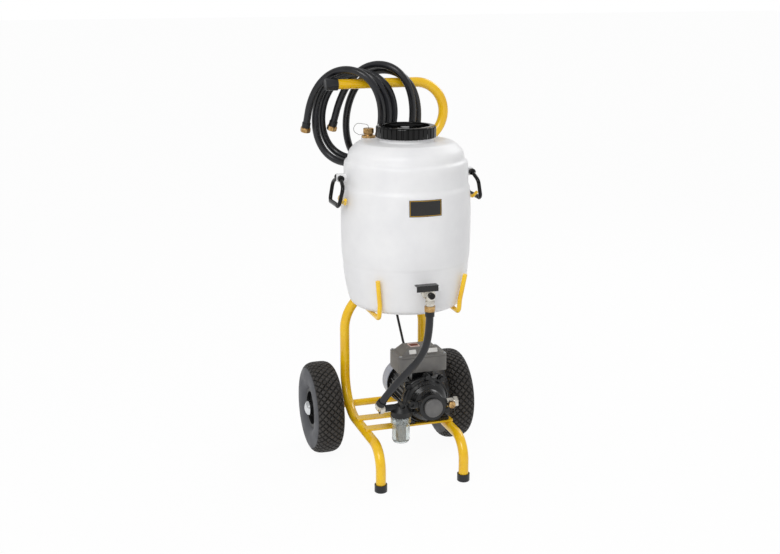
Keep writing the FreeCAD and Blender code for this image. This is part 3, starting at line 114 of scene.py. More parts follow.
# %% A finish
def finish(name, dark, light, rough, patch, grain, depth, **values):
    """A material: colour from dark to light and roughness from rough[0] to rough[1] in patches
    `patch` mm wide, and bumps `grain` mm wide and `depth` mm high."""
    made = bpy.data.materials.new(name)
    made.use_nodes = True
    tree = made.node_tree
    shader = tree.nodes["Principled BSDF"]
    spot = add(tree, "ShaderNodeTexCoord").outputs["Object"]
    cloud = add(tree, "ShaderNodeTexNoise", {"Scale": 1000 / patch, "Detail": 4.0}, {"Vector": spot})
    blend = add(tree, "ShaderNodeMapRange", {"From Min": 0.35, "From Max": 0.65},
                {"Value": cloud.outputs[0]})
    tint = add(tree, "ShaderNodeMix", {"data_type": "RGBA", 6: linear(dark), 7: linear(light)},
               {0: blend.outputs[0]})
    tree.links.new(tint.outputs[2], shader.inputs["Base Color"])
    gloss = add(tree, "ShaderNodeMapRange", {"To Min": rough[0], "To Max": rough[1]},
                {"Value": blend.outputs[0]})
    tree.links.new(gloss.outputs[0], shader.inputs["Roughness"])
    pores = add(tree, "ShaderNodeTexNoise", {"Scale": 1000 / grain, "Detail": 2.0}, {"Vector": spot})
    bump = add(tree, "ShaderNodeBump", {"Strength": 1.0, "Distance": depth / 1000},
               {"Height": pores.outputs[0]})
    tree.links.new(bump.outputs[0], shader.inputs["Normal"])
    for socket, value in values.items():
        shader.inputs[socket.replace("_", " ")].default_value = value
    return made


FINISHES = {
    # Gloss enamel on steel tube: a warm yellow with a clear gloss, slightly wavy where it ran
    "yellow_enamel": finish("yellow_enamel", "F1BC0A", "FACC14", (0.2, 0.3), 60, 9, 0.04,
                            Coat_Weight=0.25),
    # Black enamel on cast aluminium: the casting skin shows through the paint as fine pits
    "black_casting": finish("black_casting", "070708", "121214", (0.2, 0.34), 25, 1.6, 0.1),
    # Light grey paint on pressed steel: smooth, a little duller where it was handled
    "grey_steel_paint": finish("grey_steel_paint", "A6ABB8", "B8BDCA", (0.25, 0.38), 40, 5, 0.02),
    # Zinc plate on steel: bluish, rubbed dull in patches
    "zinc_plate": finish("zinc_plate", "9EA1A4", "C4C7CA", (0.25, 0.45), 8, 1.2, 0.02, Metallic=1.0),
    # Chrome plate: a near mirror
    "chrome_plate": finish("chrome_plate", "C9CBCE", "DEE0E2", (0.06, 0.16), 20, 6, 0.01, Metallic=1.0),
    # Nickel plate on brass: warmer than chrome, softly polished
    "nickel_plate": finish("nickel_plate", "B9B4AA", "D9D5CC", (0.12, 0.28), 12, 3, 0.02, Metallic=1.0),
    # Turned brass: yellow metal with dull handled patches
    "turned_brass": finish("turned_brass", "A07C4C", "D0AC76", (0.18, 0.38), 9, 1.5, 0.03, Metallic=1.0),
    # Extruded rubber hose and moulded caps: black with a bluish bloom and a faint grain
    "black_rubber": finish("black_rubber", "0D0E11", "191A20", (0.27, 0.42), 30, 2, 0.05,
                           Specular_IOR_Level=0.5),
    # Glossy moulded polypropylene of the ring and handles
    "gloss_black_plastic": finish("gloss_black_plastic", "040404", "090909", (0.06, 0.14), 30, 6, 0.03,
                                  Specular_IOR_Level=0.27),
    # Satin moulded nylon of the filter head and the switch gear
    "satin_black_plastic": finish("satin_black_plastic", "121213", "1E1F20", (0.32, 0.48), 14, 1.4,
                                  0.05, Specular_IOR_Level=0.4),
    # Grey moulded box: a warm grey with a spark-eroded texture
    "grey_moulding": finish("grey_moulding", "646260", "74726E", (0.4, 0.55), 30, 1.3, 0.06),
    # Moulded pump cover: a darker grey, a little smoother
    "dark_grey_moulding": finish("dark_grey_moulding", "5B5A5A", "6B6A69", (0.35, 0.5), 18, 1.5, 0.05),
    # Fine woven steel cloth of the strainer: dull beige, with a grain as coarse as it needs to show
    "strainer_cloth": finish("strainer_cloth", "A59D91", "BDB6AA", (0.4, 0.6), 6, 0.8, 0.1),
    # Drawn steel wire of the cap loops: dark, with dull patches
    "dark_steel_wire": finish("dark_steel_wire", "4A4844", "5E5B55", (0.25, 0.4), 5, 1, 0.01, Metallic=1.0),
    # Moulded frame of the switch: a pale pink satin
    "pale_pink_moulding": finish("pale_pink_moulding", "D9BDB7", "E6CFCA", (0.3, 0.45), 10, 1.5, 0.03),
    # Bare plates on the junction box: pale and smooth
    "pale_label": finish("pale_label", "D6D5D2", "E4E3E0", (0.35, 0.5), 15, 3, 0.01),
    # Moulded rocker of the switch: a reddish brown with a soft gloss
    "red_brown_moulding": finish("red_brown_moulding", "5E2417", "7D3524", (0.2, 0.35), 8, 1.5, 0.03),
}
print("finishes:", len(FINISHES))

# %% [markdown]
# The tank is blown from high density polyethylene. Its wall is milky: light goes into it,
# scatters and comes out again beside where it went in, which Blender calls subsurface
# scattering. The filter bowl is clear plastic, with a little tint.

# %% Milky and clear plastic
FINISHES["milky_polyethylene"] = finish(
    "milky_polyethylene", "EFEFF1", "F7F7F8", (0.36, 0.48), 90, 7, 0.05,
    Subsurface_Weight=0.3, Subsurface_Scale=0.012, Subsurface_Radius=(1.0, 1.0, 1.0))
FINISHES["clear_polycarbonate"] = finish(
    "clear_polycarbonate", "E6ECEC", "F4F8F8", (0.03, 0.1), 20, 8, 0.02, Transmission_Weight=0.92)
FINISHES["clear_polycarbonate"].node_tree.nodes["Principled BSDF"].inputs["IOR"].default_value = 1.5

# %% [markdown]
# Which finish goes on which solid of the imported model. A solid keeps its mesh and only gets a
# material in its slots.

# %% Dress the solids
DRESS = {
    "yellow_enamel": "frame_tube handle_tube crossbar_middle crossbar_front tank_cradle tank_hoop axle",
    "black_casting": "motor_housing pump_housing valve_handle housing_screws",
    "grey_steel_paint": "fan_cowl",
    "zinc_plate": "wheel_bearings_left wheel_bearings_right rotor_shaft",
    "strainer_cloth": "filter_strainer",
    "dark_steel_wire": "cap_lanyards",
    "chrome_plate": "hub_cap_left hub_cap_right valve_ball",
    "nickel_plate": "valve_body outlet_elbow filter_inlet_nut outlet_fitting",
    "turned_brass": "return_port return_cap union_nut outlet_cap pump_impeller",
    "black_rubber": "handle_end_cap foot_cap_left foot_cap_right lid_seal",
    "gloss_black_plastic": "lid_disc tank_handle_left tank_handle_right valve_front_plug",
    "satin_black_plastic": "rim_left rim_right filter_head motor_fan cable_gland mains_plug "
                           "suction_hose_ferrules",
    "grey_moulding": "junction_box junction_lid",
    "dark_grey_moulding": "pump_cover",
    "red_brown_moulding": "power_switch",
    "clear_polycarbonate": "filter_bowl filter_collar",
}


def wear(thing, material):
    """Put one material in every slot of an object."""
    if not thing.material_slots:
        thing.data.materials.append(material)
    for place in thing.material_slots:
        place.material = material


for look, names in DRESS.items():
    for name in names.split():
        wear(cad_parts[name], FINISHES[look])
print("dressed solids:", sum(len(names.split()) for names in DRESS.values()))

# %% [markdown]
# A hose or lead has a fixed length and bends gently, because its wall resists. A curve with a
# round bevel is the natural tool: one smooth spline whose control points are the turns of the
# coil. The points are worked out by the same rule as in the drawing.


# %% A cord
def cord_piece(name, points, diameter, fine):
    """A smooth tube of that diameter whose spline has these control points, in metres."""
    line = bpy.data.curves.new(name, "CURVE")
    line.dimensions = "3D"
    spline = line.splines.new("NURBS")
    spline.points.add(len(points) - 1)
    spline.points.foreach_set("co", np.c_[points, np.ones(len(points))].ravel())
    spline.order_u = 3
    spline.use_endpoint_u = True
    spline.resolution_u = fine
    line.bevel_depth = diameter / 2
    line.bevel_resolution = 6
    line.use_fill_caps = True
    made = bpy.data.objects.new(name, line)
    bpy.context.collection.objects.link(made)
    wear(made, FINISHES["black_rubber"])
    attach(made, "cart")
    return made


# %% [markdown]
# The suction hose runs from the tank's valve down to the filter, in one soft S.

# %% Suction hose
SUCTION = [(0, -372.5, 499.6), (0, -372.5, 440), (-15, -360, 375), (-55, -325, 315), (-85.5, -291.0, 259.3),
           (-101.2, -270.7, 222.3)]
suction = cord_piece("suction_line", metres(SUCTION), HOSE, 12)
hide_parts("suction_hose")

# %% [markdown]
# The mains lead leaves the junction box through a gland and climbs behind the tank. The photo
# shows only its first stretch, so the rest is put away: a coil of two layers hung on a hook
# behind the tank, with the plug hanging beside it. The inner layer is wound towards the back,
# the outer one over it and back again, a turn every 7.7 mm.

# %% Mains lead
RISE = [(40, -112, 292), (40, -58, 292), (38, -20, 345), (37, 20, 395), (39, 42, 455)]
PITCH = 7.7
STEP = 20.0
HOOK_Y, HOOK_Z = 35.45, 574.65
angle = np.arange(90.0, 2790.0 + 1, STEP)
passed = angle / 360.0
blend = np.clip((passed - 4.05) / 0.5, 0, 1)
layer = 40.0 + PITCH * (blend * blend * (3 - 2 * blend) - 0.5)
along = np.minimum(passed, 8.6 - passed)
along = np.where(along > 4.1, 4.1 + (along - 4.1) * 0.5, along)
turn = np.radians(angle - 90.0)
layer = layer / (0.75 + 0.25 * math.cos(math.radians(STEP)))
coil = np.c_[layer * np.cos(turn), HOOK_Y + PITCH * along, HOOK_Z + layer * np.sin(turn)]
low = coil[0] + (0, 0, -50)
tail = coil[-1] + ((0, 0, -30), (-1.5, 5, -58), (-3, 10, -90), (-3, 10, -115))
lead_points = metres(np.vstack([RISE, low, coil, tail]))
lead = cord_piece("mains_lead", lead_points, LEAD, 6)
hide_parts("mains_cord", "mains_cord_coil")
print("lead control points:", len(lead_points))

# %% [markdown]
# Turned and moulded shapes are worked out as grids of points. A profile of radius and height
# is turned about an axis, and its corners are rounded first, because no real edge is sharp.


# %% Shapes from grids
def rounded(outline, radius, steps=5):
    """The outline with each inner corner turned into a short parabola through
    (1-t)^2 a + 2t(1-t) corner + t^2 b, where a and b lie `radius` away along the two sides."""
    p = np.asarray(outline, float)
    reach = np.broadcast_to(radius, len(p)).reshape(-1, 1)

    def beside(other):
        length = np.maximum(np.linalg.norm(other - p, axis=1, keepdims=True), 1e-9)
        return p + (other - p) * np.minimum(reach / length, 0.45)

    t = np.linspace(0, 1, steps)[:, None, None]
    bend = (1 - t) ** 2 * beside(np.roll(p, 1, 0)) + 2 * t * (1 - t) * p + t ** 2 * beside(np.roll(p, -1, 0))
    inner = bend.transpose(1, 0, 2)[1:-1].reshape(-1, p.shape[1])
    return np.vstack([p[:1], inner, p[-1:]])


def turned(profile, count=96, ripple=None):
    """Rings about Z: x = r cos a, y = r sin a, z = height; ripple(a, r, z) gives a new radius."""
    p = np.asarray(profile, float)
    angle = np.linspace(0, 2 * math.pi, count, endpoint=False)[None]
    radius = p[:, :1] + 0 * angle
    height = p[:, 1:] + 0 * angle
    if ripple:
        radius = ripple(angle, radius, height)
    return np.stack([radius * np.cos(angle), radius * np.sin(angle), height], axis=-1)


TURNS = {
    "Z": np.eye(3),
    "X": np.array([[0, 0, 1], [1, 0, 0], [0, 1, 0]], float),
    "-Y": np.array([[1, 0, 0], [0, 0, -1], [0, 1, 0]], float),
}


def placed(grid, at, axis="Z"):
    """The grid with its Z axis laid along the named axis and its origin at a place in mm."""
    return np.asarray(grid) @ TURNS[axis].T + np.asarray(at, float)


def aimed(grid, at, way):
    """The grid with its Z axis along any direction: side = up x way, and the third is way x side."""
    way = np.asarray(way, float) / np.linalg.norm(way)
    up = np.eye(3)[np.argmin(np.abs(way))]
    side = np.cross(up, way)
    side /= np.linalg.norm(side)
    return np.asarray(grid) @ np.stack([side, np.cross(way, side), way]) + np.asarray(at, float)


def hexagon(flat, chamfer):
    """A ripple for turned(): r is cut back to flats, min(r, flat / 2 / cos(a mod 60 - 30)), and
    the corners stay inside the chamfer circle."""
    def ripple(angle, radius, height):
        face = flat / 2 / np.cos((angle % (math.pi / 3)) - math.pi / 6)
        return np.where(radius > flat / 2 - 0.01, np.minimum(np.minimum(radius, face), chamfer), radius)
    return ripple


def piece(name, grids, material, body, sharp=35.0, marks=None):
    """One object from closed grids in mm: each is rows x columns x 3 and wraps round its columns.
    `sharp` is the angle in degrees past which an edge stays hard; marks are values for each point."""
    spots, faces, start = [], [], 0
    for grid in grids:
        rows, columns = grid.shape[:2]
        number = np.arange(rows * columns).reshape(rows, columns) + start
        beside = np.roll(number, -1, axis=1)
        quad = np.stack([number[:-1], beside[:-1], beside[1:], number[1:]], axis=-1)
        spots.append(grid.reshape(-1, 3))
        faces.append(quad.reshape(-1, 4))
        start += rows * columns
    mesh = bpy.data.meshes.new(name)
    mesh.from_pydata(metres(np.vstack(spots)).tolist(), [], np.vstack(faces).tolist())
    for key, values in (marks or {}).items():
        mesh.attributes.new(key, "FLOAT", "POINT").data.foreach_set("value", np.ravel(values).astype("f"))
    work = bmesh.new()
    work.from_mesh(mesh)
    bmesh.ops.remove_doubles(work, verts=work.verts, dist=2e-6)
    bmesh.ops.dissolve_degenerate(work, edges=work.edges, dist=1e-6)
    bmesh.ops.recalc_face_normals(work, faces=work.faces)
    work.to_mesh(mesh)
    work.free()
    mesh.polygons.foreach_set("use_smooth", np.ones(len(mesh.polygons), bool))
    mesh.set_sharp_from_angle(angle=math.radians(sharp))
    made = bpy.data.objects.new(name, mesh)
    bpy.context.collection.objects.link(made)
    wear(made, material)
    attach(made, body)
    print("%-20s %6d faces" % (name, len(mesh.polygons)))
    return made


# %% [markdown]
# The tyre is a moulded rubber ring. Its tread is a net of diamond blocks, about 19 mm long,
# with grooves between them. The blocks are real geometry: every point of the turned surface
# is pushed in along its own normal where it lies in one of two families of slanting grooves.

# %% Tyre rubber
tyre_rubber = finish("tyre_rubber", "302D2B", "403D3A", (0.5, 0.68), 35, 1.8, 0.1,
                     Specular_IOR_Level=0.35)
tree = tyre_rubber.node_tree
shader = tree.nodes["Principled BSDF"]
wall_mark = add(tree, "ShaderNodeAttribute", {"attribute_name": "wall"})
tread_colour = shader.inputs["Base Color"].links[0].from_socket
two_tone = add(tree, "ShaderNodeMix", {"data_type": "RGBA", 7: linear("58595D")},
               {0: wall_mark.outputs["Fac"], 6: tread_colour})
# The grooves are painted near black: painted shade in the hollows between the tread blocks, over the rubber's
# own colour.
groove_shade_mark = add(tree, "ShaderNodeAttribute", {"attribute_name": "groove"})
painted_groove_shade = add(tree, "ShaderNodeMix", {"data_type": "RGBA", 7: linear("121110")},
              {0: groove_shade_mark.outputs["Fac"], 6: two_tone.outputs[2]})
tree.links.new(painted_groove_shade.outputs[2], shader.inputs["Base Color"])


# %% Tyres with their tread
TYRE_HALF = [(57.3, 27), (60.8, 31.5), (68.8, 37.8), (79.8, 41), (91.8, 42), (103.8, 41.4), (114, 38.5),
             (122.5, 33), (127.5, 25), (130, 14)]


def tyre_surface(blocks=42, pitch=19.0, groove=3.0, count=480):
    """The turned outside of a tyre with its grooves: depth = 3 mm where the distance to the
    nearest line a = whole or b = whole is under half a groove, a, b = blocks t/2pi +- s/pitch."""
    half = rounded(TYRE_HALF + [(130, -14)], 9.0, 4)[:-1]
    half = half[half[:, 1] > 0]
    outline = np.vstack([[(50.6, 21), (50.6, 27)], half, (half * (1, -1))[::-1], [(50.6, -27), (50.6, -21)]])
    length = np.r_[0, np.cumsum(np.linalg.norm(np.diff(outline, axis=0), axis=1))]
    even = np.arange(0, length[-1], 1.7)
    fine = np.c_[np.interp(even, length, outline[:, 0]), np.interp(even, length, outline[:, 1])]
    fine = np.vstack([fine, outline[-1:]])
    even = np.r_[even, length[-1]]
    way = np.gradient(fine, axis=0)
    way /= np.linalg.norm(way, axis=1, keepdims=True)
    normal = np.c_[-way[:, 1], way[:, 0]]
    normal *= np.where((normal * (fine - (90, 0))).sum(1) < 0, -1, 1)[:, None]
    across = even - length[-1] / 2
    angle = np.linspace(0, 2 * math.pi, count, endpoint=False)
    net = [blocks * angle[None] / (2 * math.pi) + sign * across[:, None] / pitch for sign in (1, -1)]
    nearest = np.minimum(*[np.abs(lines - np.round(lines)) for lines in net]) * pitch / math.sqrt(2)
    dip = 1 - np.clip((nearest - groove / 2) / 1.1 + 0.5, 0, 1)
    tread = np.clip((44.0 - np.abs(across)) / 3.0, 0, 1)[:, None]
    push = -3.0 * dip * tread
    radius = fine[:, :1] + normal[:, :1] * push
    width = fine[:, 1:] + normal[:, 1:] * push
    outer = np.stack([radius * np.cos(angle), radius * np.sin(angle), width], axis=-1)
    inner = turned(rounded([(50.6, -21), (58, -21), (68, -27), (90, -34), (108, -32), (118, -22), (121, 0),
                            (118, 22), (108, 32), (90, 34), (68, 27), (58, 21), (50.6, 21)], 5.0, 3), count)
    plain = np.zeros(inner.shape[:2])[1:]
    smooth_side = np.broadcast_to(1 - tread, radius.shape)
    # The last grid marks the grooves, where the tyre's material paints shade.
    return (np.concatenate([outer, inner[1:]]), np.concatenate([smooth_side, plain]),
            np.concatenate([dip * tread, plain]))


surface, wall_share, groove_shade_share = tyre_surface()
for side, sign in (("left", -1), ("right", 1)):
    tyre = piece("tread_" + side, [placed(surface, (sign * HALF_TRACK, 0, AXLE_HEIGHT), "X")], tyre_rubber,
                 "wheel_" + side, 40.0, {"wall": wall_share, "groove": groove_shade_share})
    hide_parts("tyre_" + side)

# %% [markdown]
# The tank is blow-moulded: a barrel whose wall steps in at the bands. Turning one rounded
# profile gives it, and the wall is real, because the neck is open under the lid. The lugs and
# the bosses are moulded with it.

# %% Tank
TANK = (0.0, -177.55, 472.5)
OUTSIDE = [(0, 0), (122, 0), (136, 2.5), (146, 9), (151, 18), (157, 43), (162, 68), (165, 88), (167, 122),
           (168.5, 128), (170.5, 150), (171.5, 205), (171.5, 255), (168.5, 318), (164, 327), (163, 375),
           (161, 386), (153.5, 392), (151, 408), (145, 418), (128, 433), (120, 436), (71, 436), (71, 470)]
INSIDE = [(67, 470), (67, 433), (120, 433), (128, 430), (143, 415), (148, 405), (150.5, 389), (158, 383),
          (160, 375), (161, 325), (165.5, 316), (168.5, 255), (168.5, 205), (167.5, 150), (165.5, 131),
          (164, 124), (162, 88), (159, 69), (154, 45), (148, 20), (143, 11.5), (135, 5.5), (121, 3), (0, 3)]
soft = np.array([0, 8, 8, 8, 8, 8, 8, 8, 3, 3, 8, 12, 12, 4, 4, 5, 4, 4, 6, 9, 9, 9, 4, 1])
body_profile = np.vstack([rounded(OUTSIDE, soft, 6), rounded(INSIDE, 2.0, 3)])


def bar_grid(outline, low, high, edge):
    """A prism along Z with rounded ends: the outline (mm, about its middle) shrinks by edge."""
    p = rounded(np.vstack([outline, outline[:1]]), 2.5, 4)[1:]
    size = np.abs(p).max(0)
    levels = [(0.0, low), (1 - edge / size.min(), low), (1 - 0.3 * edge / size.min(), low + 0.3 * edge),
              (1.0, low + edge), (1.0, high - edge), (1 - 0.3 * edge / size.min(), high - 0.3 * edge),
              (1 - edge / size.min(), high), (0.0, high)]
    return np.stack([np.c_[p * scale, np.full(len(p), level)] for scale, level in levels])


def pad(x, y, z, edge=1.5):
    """A block of those sizes in mm with rounded edges, about its middle."""
    corner = np.array([(-x, -y), (x, -y), (x, y), (-x, y)]) / 2
    return bar_grid(corner, -z / 2, z / 2, edge)


PORT = (-76, TANK[1] + 86)
LUG_X, LUG_Z = 175.0, 820.0
VALVE_Z = 543.0
tank_grids = [placed(turned(body_profile, 160), TANK)]
for sign in (-1, 1):
    tank_grids.append(placed(pad(24, 20, 20), (sign * LUG_X, TANK[1], LUG_Z)))
spout = rounded([(0, 0), (17, 0), (15, 6), (15, 14), (0, 14)], 1.5, 3)
tank_grids.append(placed(turned(spout, 48), (0, TANK[1] - 153, VALVE_Z), "-Y"))
boss = rounded([(0, -6), (20, -6), (20, 0.5), (0, 0.5)], 1.0, 3)
tank_grids.append(placed(turned(boss, 48), (*PORT, 908.5)))
tank = piece("tank_shell", tank_grids, FINISHES["milky_polyethylene"], "cart", 28.0)
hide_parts("tank_body")

# %% [markdown]
# The screw ring is moulded with upright ribs for the hands. Its radius follows a flattened
# cosine: broad lands with narrow grooves between them.


# %% Screw ring
def grip_ribs(angle, radius, height):
    """r - 2.2 mm in the grooves: the cosine of 36 ribs, steepened and clipped."""
    land = np.clip(0.5 + 2.2 * (np.cos(36 * angle) + 0.55), 0, 1)
    inside = (radius > 76.0) & (height > 1.0)
    return radius - 2.2 * (1 - land) * inside


ring_profile = rounded([(72.3, 0), (78.8, 0), (78.8, 25.5), (77, 29), (71, 30), (62, 30), (62, 27),
                        (72.3, 27), (72.3, 0)], 1.2, 4)
ring = piece("screw_ring", [placed(turned(ring_profile, 720, grip_ribs), (0, TANK[1], 919.5))],
             FINISHES["gloss_black_plastic"], "lid_ring", 40.0)
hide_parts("lid_ring")

# %% [markdown]
# The filling port's cap is turned brass with a coarse straight knurl, so that wet fingers can
# turn it. The knurl is a cosine of 28 teeth on its side.

# %% Knurled cap
def knurl(angle, radius, height):
    """r - 0.9 mm between the teeth: the cosine of 28 teeth, only on the side of the cap."""
    side = (radius > 13.0) & (height > 12.0) & (height < 23.5)
    return radius - 0.45 * (1 - np.cos(28 * angle)) * side


cap_profile = rounded([(10.1, 11), (13.2, 11), (14, 12), (14, 13), (14, 22.5), (14, 23.5), (12.6, 25),
                       (0, 25)], 0.5, 3)
cap_profile = np.vstack([cap_profile, [(0, 20.3), (10.1, 20.3), (10.1, 11)]])
cap = piece("knurled_cap", [placed(turned(cap_profile, 280, knurl), (*PORT, 909.0))],
            FINISHES["turned_brass"], "return_cap", 40.0)
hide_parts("return_cap")

# %% [markdown]
# Two flushing hoses hang over the handle bar. Each rises behind the bar, passes over it and
# comes down in front. Seen from the front a turn is an ellipse; from the side its two halves
# lean apart, which a tanh of the sine gives. The turns move to the right as they are laid.


# %% Flushing hoses
def hose_route(middle, high, shrink, deep, sharp, swing, step, flare, last, first=-94.0, pace=18.0):
    """x = middle + 80 sin a + step; z = middle + (high - shrink p) cos a + step;
    y = middle - deep tanh(sharp sin a) / tanh(sharp) + swing (1 - cos a) + step; a goes from first to
    last degrees and p counts the turns from -98. The points lie outside the curve by `spread`,
    because a spline passes inside its control points."""
    angle = np.radians(np.linspace(first, last, int(round((last - first) / pace)) + 1))
    passed = (np.degrees(angle) + 98.0) / 360.0
    spread = 1.0 / (0.75 + 0.25 * math.cos(math.radians(pace)))
    side = np.sin(angle) * spread
    beside = (passed - 1.375)[:, None] * np.array(step)
    out = flare * np.maximum(0.0, 1.0 - passed / 0.25) ** 2
    x = middle[0] + 80.0 * side - out
    front = np.cos(angle) * spread
    y = middle[1] - deep * np.tanh(sharp * side) / math.tanh(sharp) + swing * (1 - front)
    z = middle[2] + (high - shrink * passed) * np.cos(angle) * spread
    return np.c_[x, y, z] + beside


def with_ends(points, reach):
    """The route with a straight stretch of `reach` mm added at both ends."""
    first = points[0] + (points[0] - points[1]) / np.linalg.norm(points[0] - points[1]) * reach
    last = points[-1] + (points[-1] - points[-2]) / np.linalg.norm(points[-1] - points[-2]) * reach
    return np.vstack([first, points, last])


union_nut = turned(rounded([(10.5, 12.9), (13.2, 12.9), (14.5, 11.5), (14.5, 2.5), (13, 0.6), (6, 0.6),
                            (6, 3), (10.5, 3), (10.5, 12.9)], 0.5, 3), 96, hexagon(26.0, 14.4))
nut_lip = turned(rounded([(6, -0.2), (11.9, -0.2), (11.9, 1.4), (6, 1.4), (6, -0.2)], 0.3, 3), 48)
ferrule = turned(rounded([(10.0, -14), (11.6, -14), (12.0, -11), (11.5, -9.5), (12.0, -8), (11.5, -6.5),
                          (12.0, -5), (11.5, -3.5), (12.0, -2), (11.8, 0.3), (6, 0.3), (6, -0.3),
                          (10.0, -0.3), (10.0, -14)], 0.5, 3), 48)
HOSES = {
    "left": hose_route((-79.9, 16.8, 948.1), 136.3, 7.7, 65.1, 1.2, 36.3, (23.2, 15.6, 2.1), 4.0, 890.0),
    "right": hose_route((15.1, 35.1, 932.2), 150.4, 8.2, 65.2, 1.5, 42.9, (22.0, 21.8, -9.3), 19.0, 530.0),
}
for side, route in HOSES.items():
    whole = with_ends(route, 20.0)
    points = metres(whole)
    ends = [(whole[k], whole[k] - whole[near]) for k, near in ((0, 1), (-1, -2))]
    nuts = [aimed(shape, *end) for end in ends for shape in (union_nut, nut_lip)]
    sleeves = [aimed(ferrule, *end) for end in ends]
    nut_set = piece("hose_ends_" + side, nuts, FINISHES["turned_brass"], "cart")
    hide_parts("flushing_hose_ends")
    sleeve_set = piece("hose_sleeves_" + side, sleeves, FINISHES["satin_black_plastic"], "cart")
    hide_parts("flushing_hose_ends")
    hose = cord_piece("hose_" + side, points, HOSE, 8)
    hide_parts("flushing_hose_" + side)

# %% [markdown]
# The junction box is moulded with soft edges and a lid that slopes up to a flat top, where the
# rocker sits in a square well. Rings of a rounded rectangle, one above the other, make both.


# %% Junction box
def ring_at(middle, wide, deep, corner, z):
    """A rounded rectangle at height z: four quarter circles, x = cx + r cos a, y = cy + r sin a."""
    corner = min(corner, wide / 2 - 0.01, deep / 2 - 0.01)
    angle = np.radians([90 * k + step for k in range(4) for step in np.linspace(0, 90, 9)])
    side_x = np.repeat([1, -1, -1, 1], 9) * (wide / 2 - corner)
    side_y = np.repeat([1, 1, -1, -1], 9) * (deep / 2 - corner)
    return np.c_[middle[0] + side_x + corner * np.cos(angle), middle[1] + side_y + corner * np.sin(angle),
                 np.full(36, float(z))]


BOX = (47.0, -150.0)
ROCKER = (33, -150)
LID_SLOPE = 1.02
box_rows = [(0.1, 0.1, 0.1, 271.0), (134, 79, 5, 271.0), (137.6, 82.6, 6, 271.8), (139, 84, 6.5, 274.0),
            (139, 84, 6.5, 311.2), (138, 83, 6, 312.6), (135, 80, 5, 313.0), (0.1, 0.1, 0.1, 313.0)]
box = piece("box_shell", [np.stack([ring_at(BOX, *row) for row in box_rows])], FINISHES["grey_moulding"],
            "cart")
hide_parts("junction_box")
lid_rows = [(0.1, 0.1, 0.1, 313.05), (135, 80, 5, 313.05), (138, 83, 6, 313.4), (139, 84, 6.5, 314.6),
            (139, 84, 6.5, 318.2), (138, 83, 6, 319.6), (135, 80, 5.5, 320.05), (119, 74, 5, 320.2),
            (115.5, 70.5, 5, 322.0), (86, 55, 5, 336.0), (83, 52.5, 4.5, 337.6), (79, 49, 4, 338.05)]
well_rows = [(22.6, 22.4, 1.2, 338.05), (22.6, 22.4, 1.2, 320.05), (0.1, 0.1, 0.1, 320.05)]
lid = piece("box_lid", [np.stack([ring_at(BOX, *row) for row in lid_rows]
                                 + [ring_at(ROCKER, *row) for row in well_rows])],
            FINISHES["grey_moulding"], "cart")
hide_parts("junction_lid")
frame_rows = [(23, 22.8, 1.2, 338.1), (23, 22.8, 1.2, 339.6), (24, 24, 1.6, 340.1), (27, 30, 2, 339.9),
              (28, 31, 2.2, 338.1), (23, 22.8, 1.2, 338.1)]
piece("switch_frame", [np.stack([ring_at(ROCKER, *row) for row in frame_rows])],
      FINISHES["pale_pink_moulding"], "cart")
lean, rise = math.cos(LID_SLOPE), math.sin(LID_SLOPE)
slope = np.array([[1, 0, 0], [0, lean, -rise], [0, rise, lean]])
plates = [pad(wide, 12, 0.8, 0.3) @ slope.T + (x, -181.9, 329.5) for x, wide in ((20, 20), (74, 35))]
piece("label_plates", plates, FINISHES["pale_label"], "cart")
screw_profile = rounded([(0, 0), (4.6, 0), (4.6, 1.2), (3.6, 2.4), (1.3, 2.4), (1.3, 1.2), (0, 1.2)],
                        0.3, 3)
box_screws = [placed(turned(screw_profile, 24), (BOX[0] + i * 63, BOX[1] + j * 36, 319.4))
              for i in (-1, 1) for j in (-1, 1)]
piece("box_screws", box_screws, FINISHES["zinc_plate"], "cart")

# %% [markdown]
# The gland ends in a rubber sleeve that grows thinner along the lead, so that the lead can't be
# kinked where it leaves the box. Its grooves, one every 5 mm, let it bend.

# %% Strain relief
SLEEVE = 34
sleeve_z = np.linspace(0, SLEEVE, 103)
in_groove = (np.sin(sleeve_z * 2 * math.pi / 5.0) < -0.2) * (sleeve_z > 3)
sleeve_r = 6.4 - 2.2 * sleeve_z / SLEEVE - 0.7 * in_groove
sleeve = np.vstack([[(3.6, 0)], np.c_[sleeve_r, sleeve_z], [(3.6, SLEEVE), (3.6, 0)]])
piece("strain_relief", [aimed(turned(sleeve, 40), (40, -92.2, 292), (0, 1, 0))],
      FINISHES["black_rubber"], "cart", 50.0)

# %% [markdown]
# The label is a thin printed film on the tank's belly. Here it is left bare: a black field
# with a plain thin border, and no lettering.

# %% Label
label_print = finish("label_film", "100F0D", "1A1816", (0.2, 0.3), 30, 9, 0.005)
tree = label_print.node_tree
shader = tree.nodes["Principled BSDF"]
edge_mark = add(tree, "ShaderNodeAttribute", {"attribute_name": "border"})
field = shader.inputs["Base Color"].links[0].from_socket
print_colour = add(tree, "ShaderNodeMix", {"data_type": "RGBA", 7: linear("D9A92A")},
                   {0: edge_mark.outputs["Fac"], 6: field})
tree.links.new(print_colour.outputs[2], shader.inputs["Base Color"])


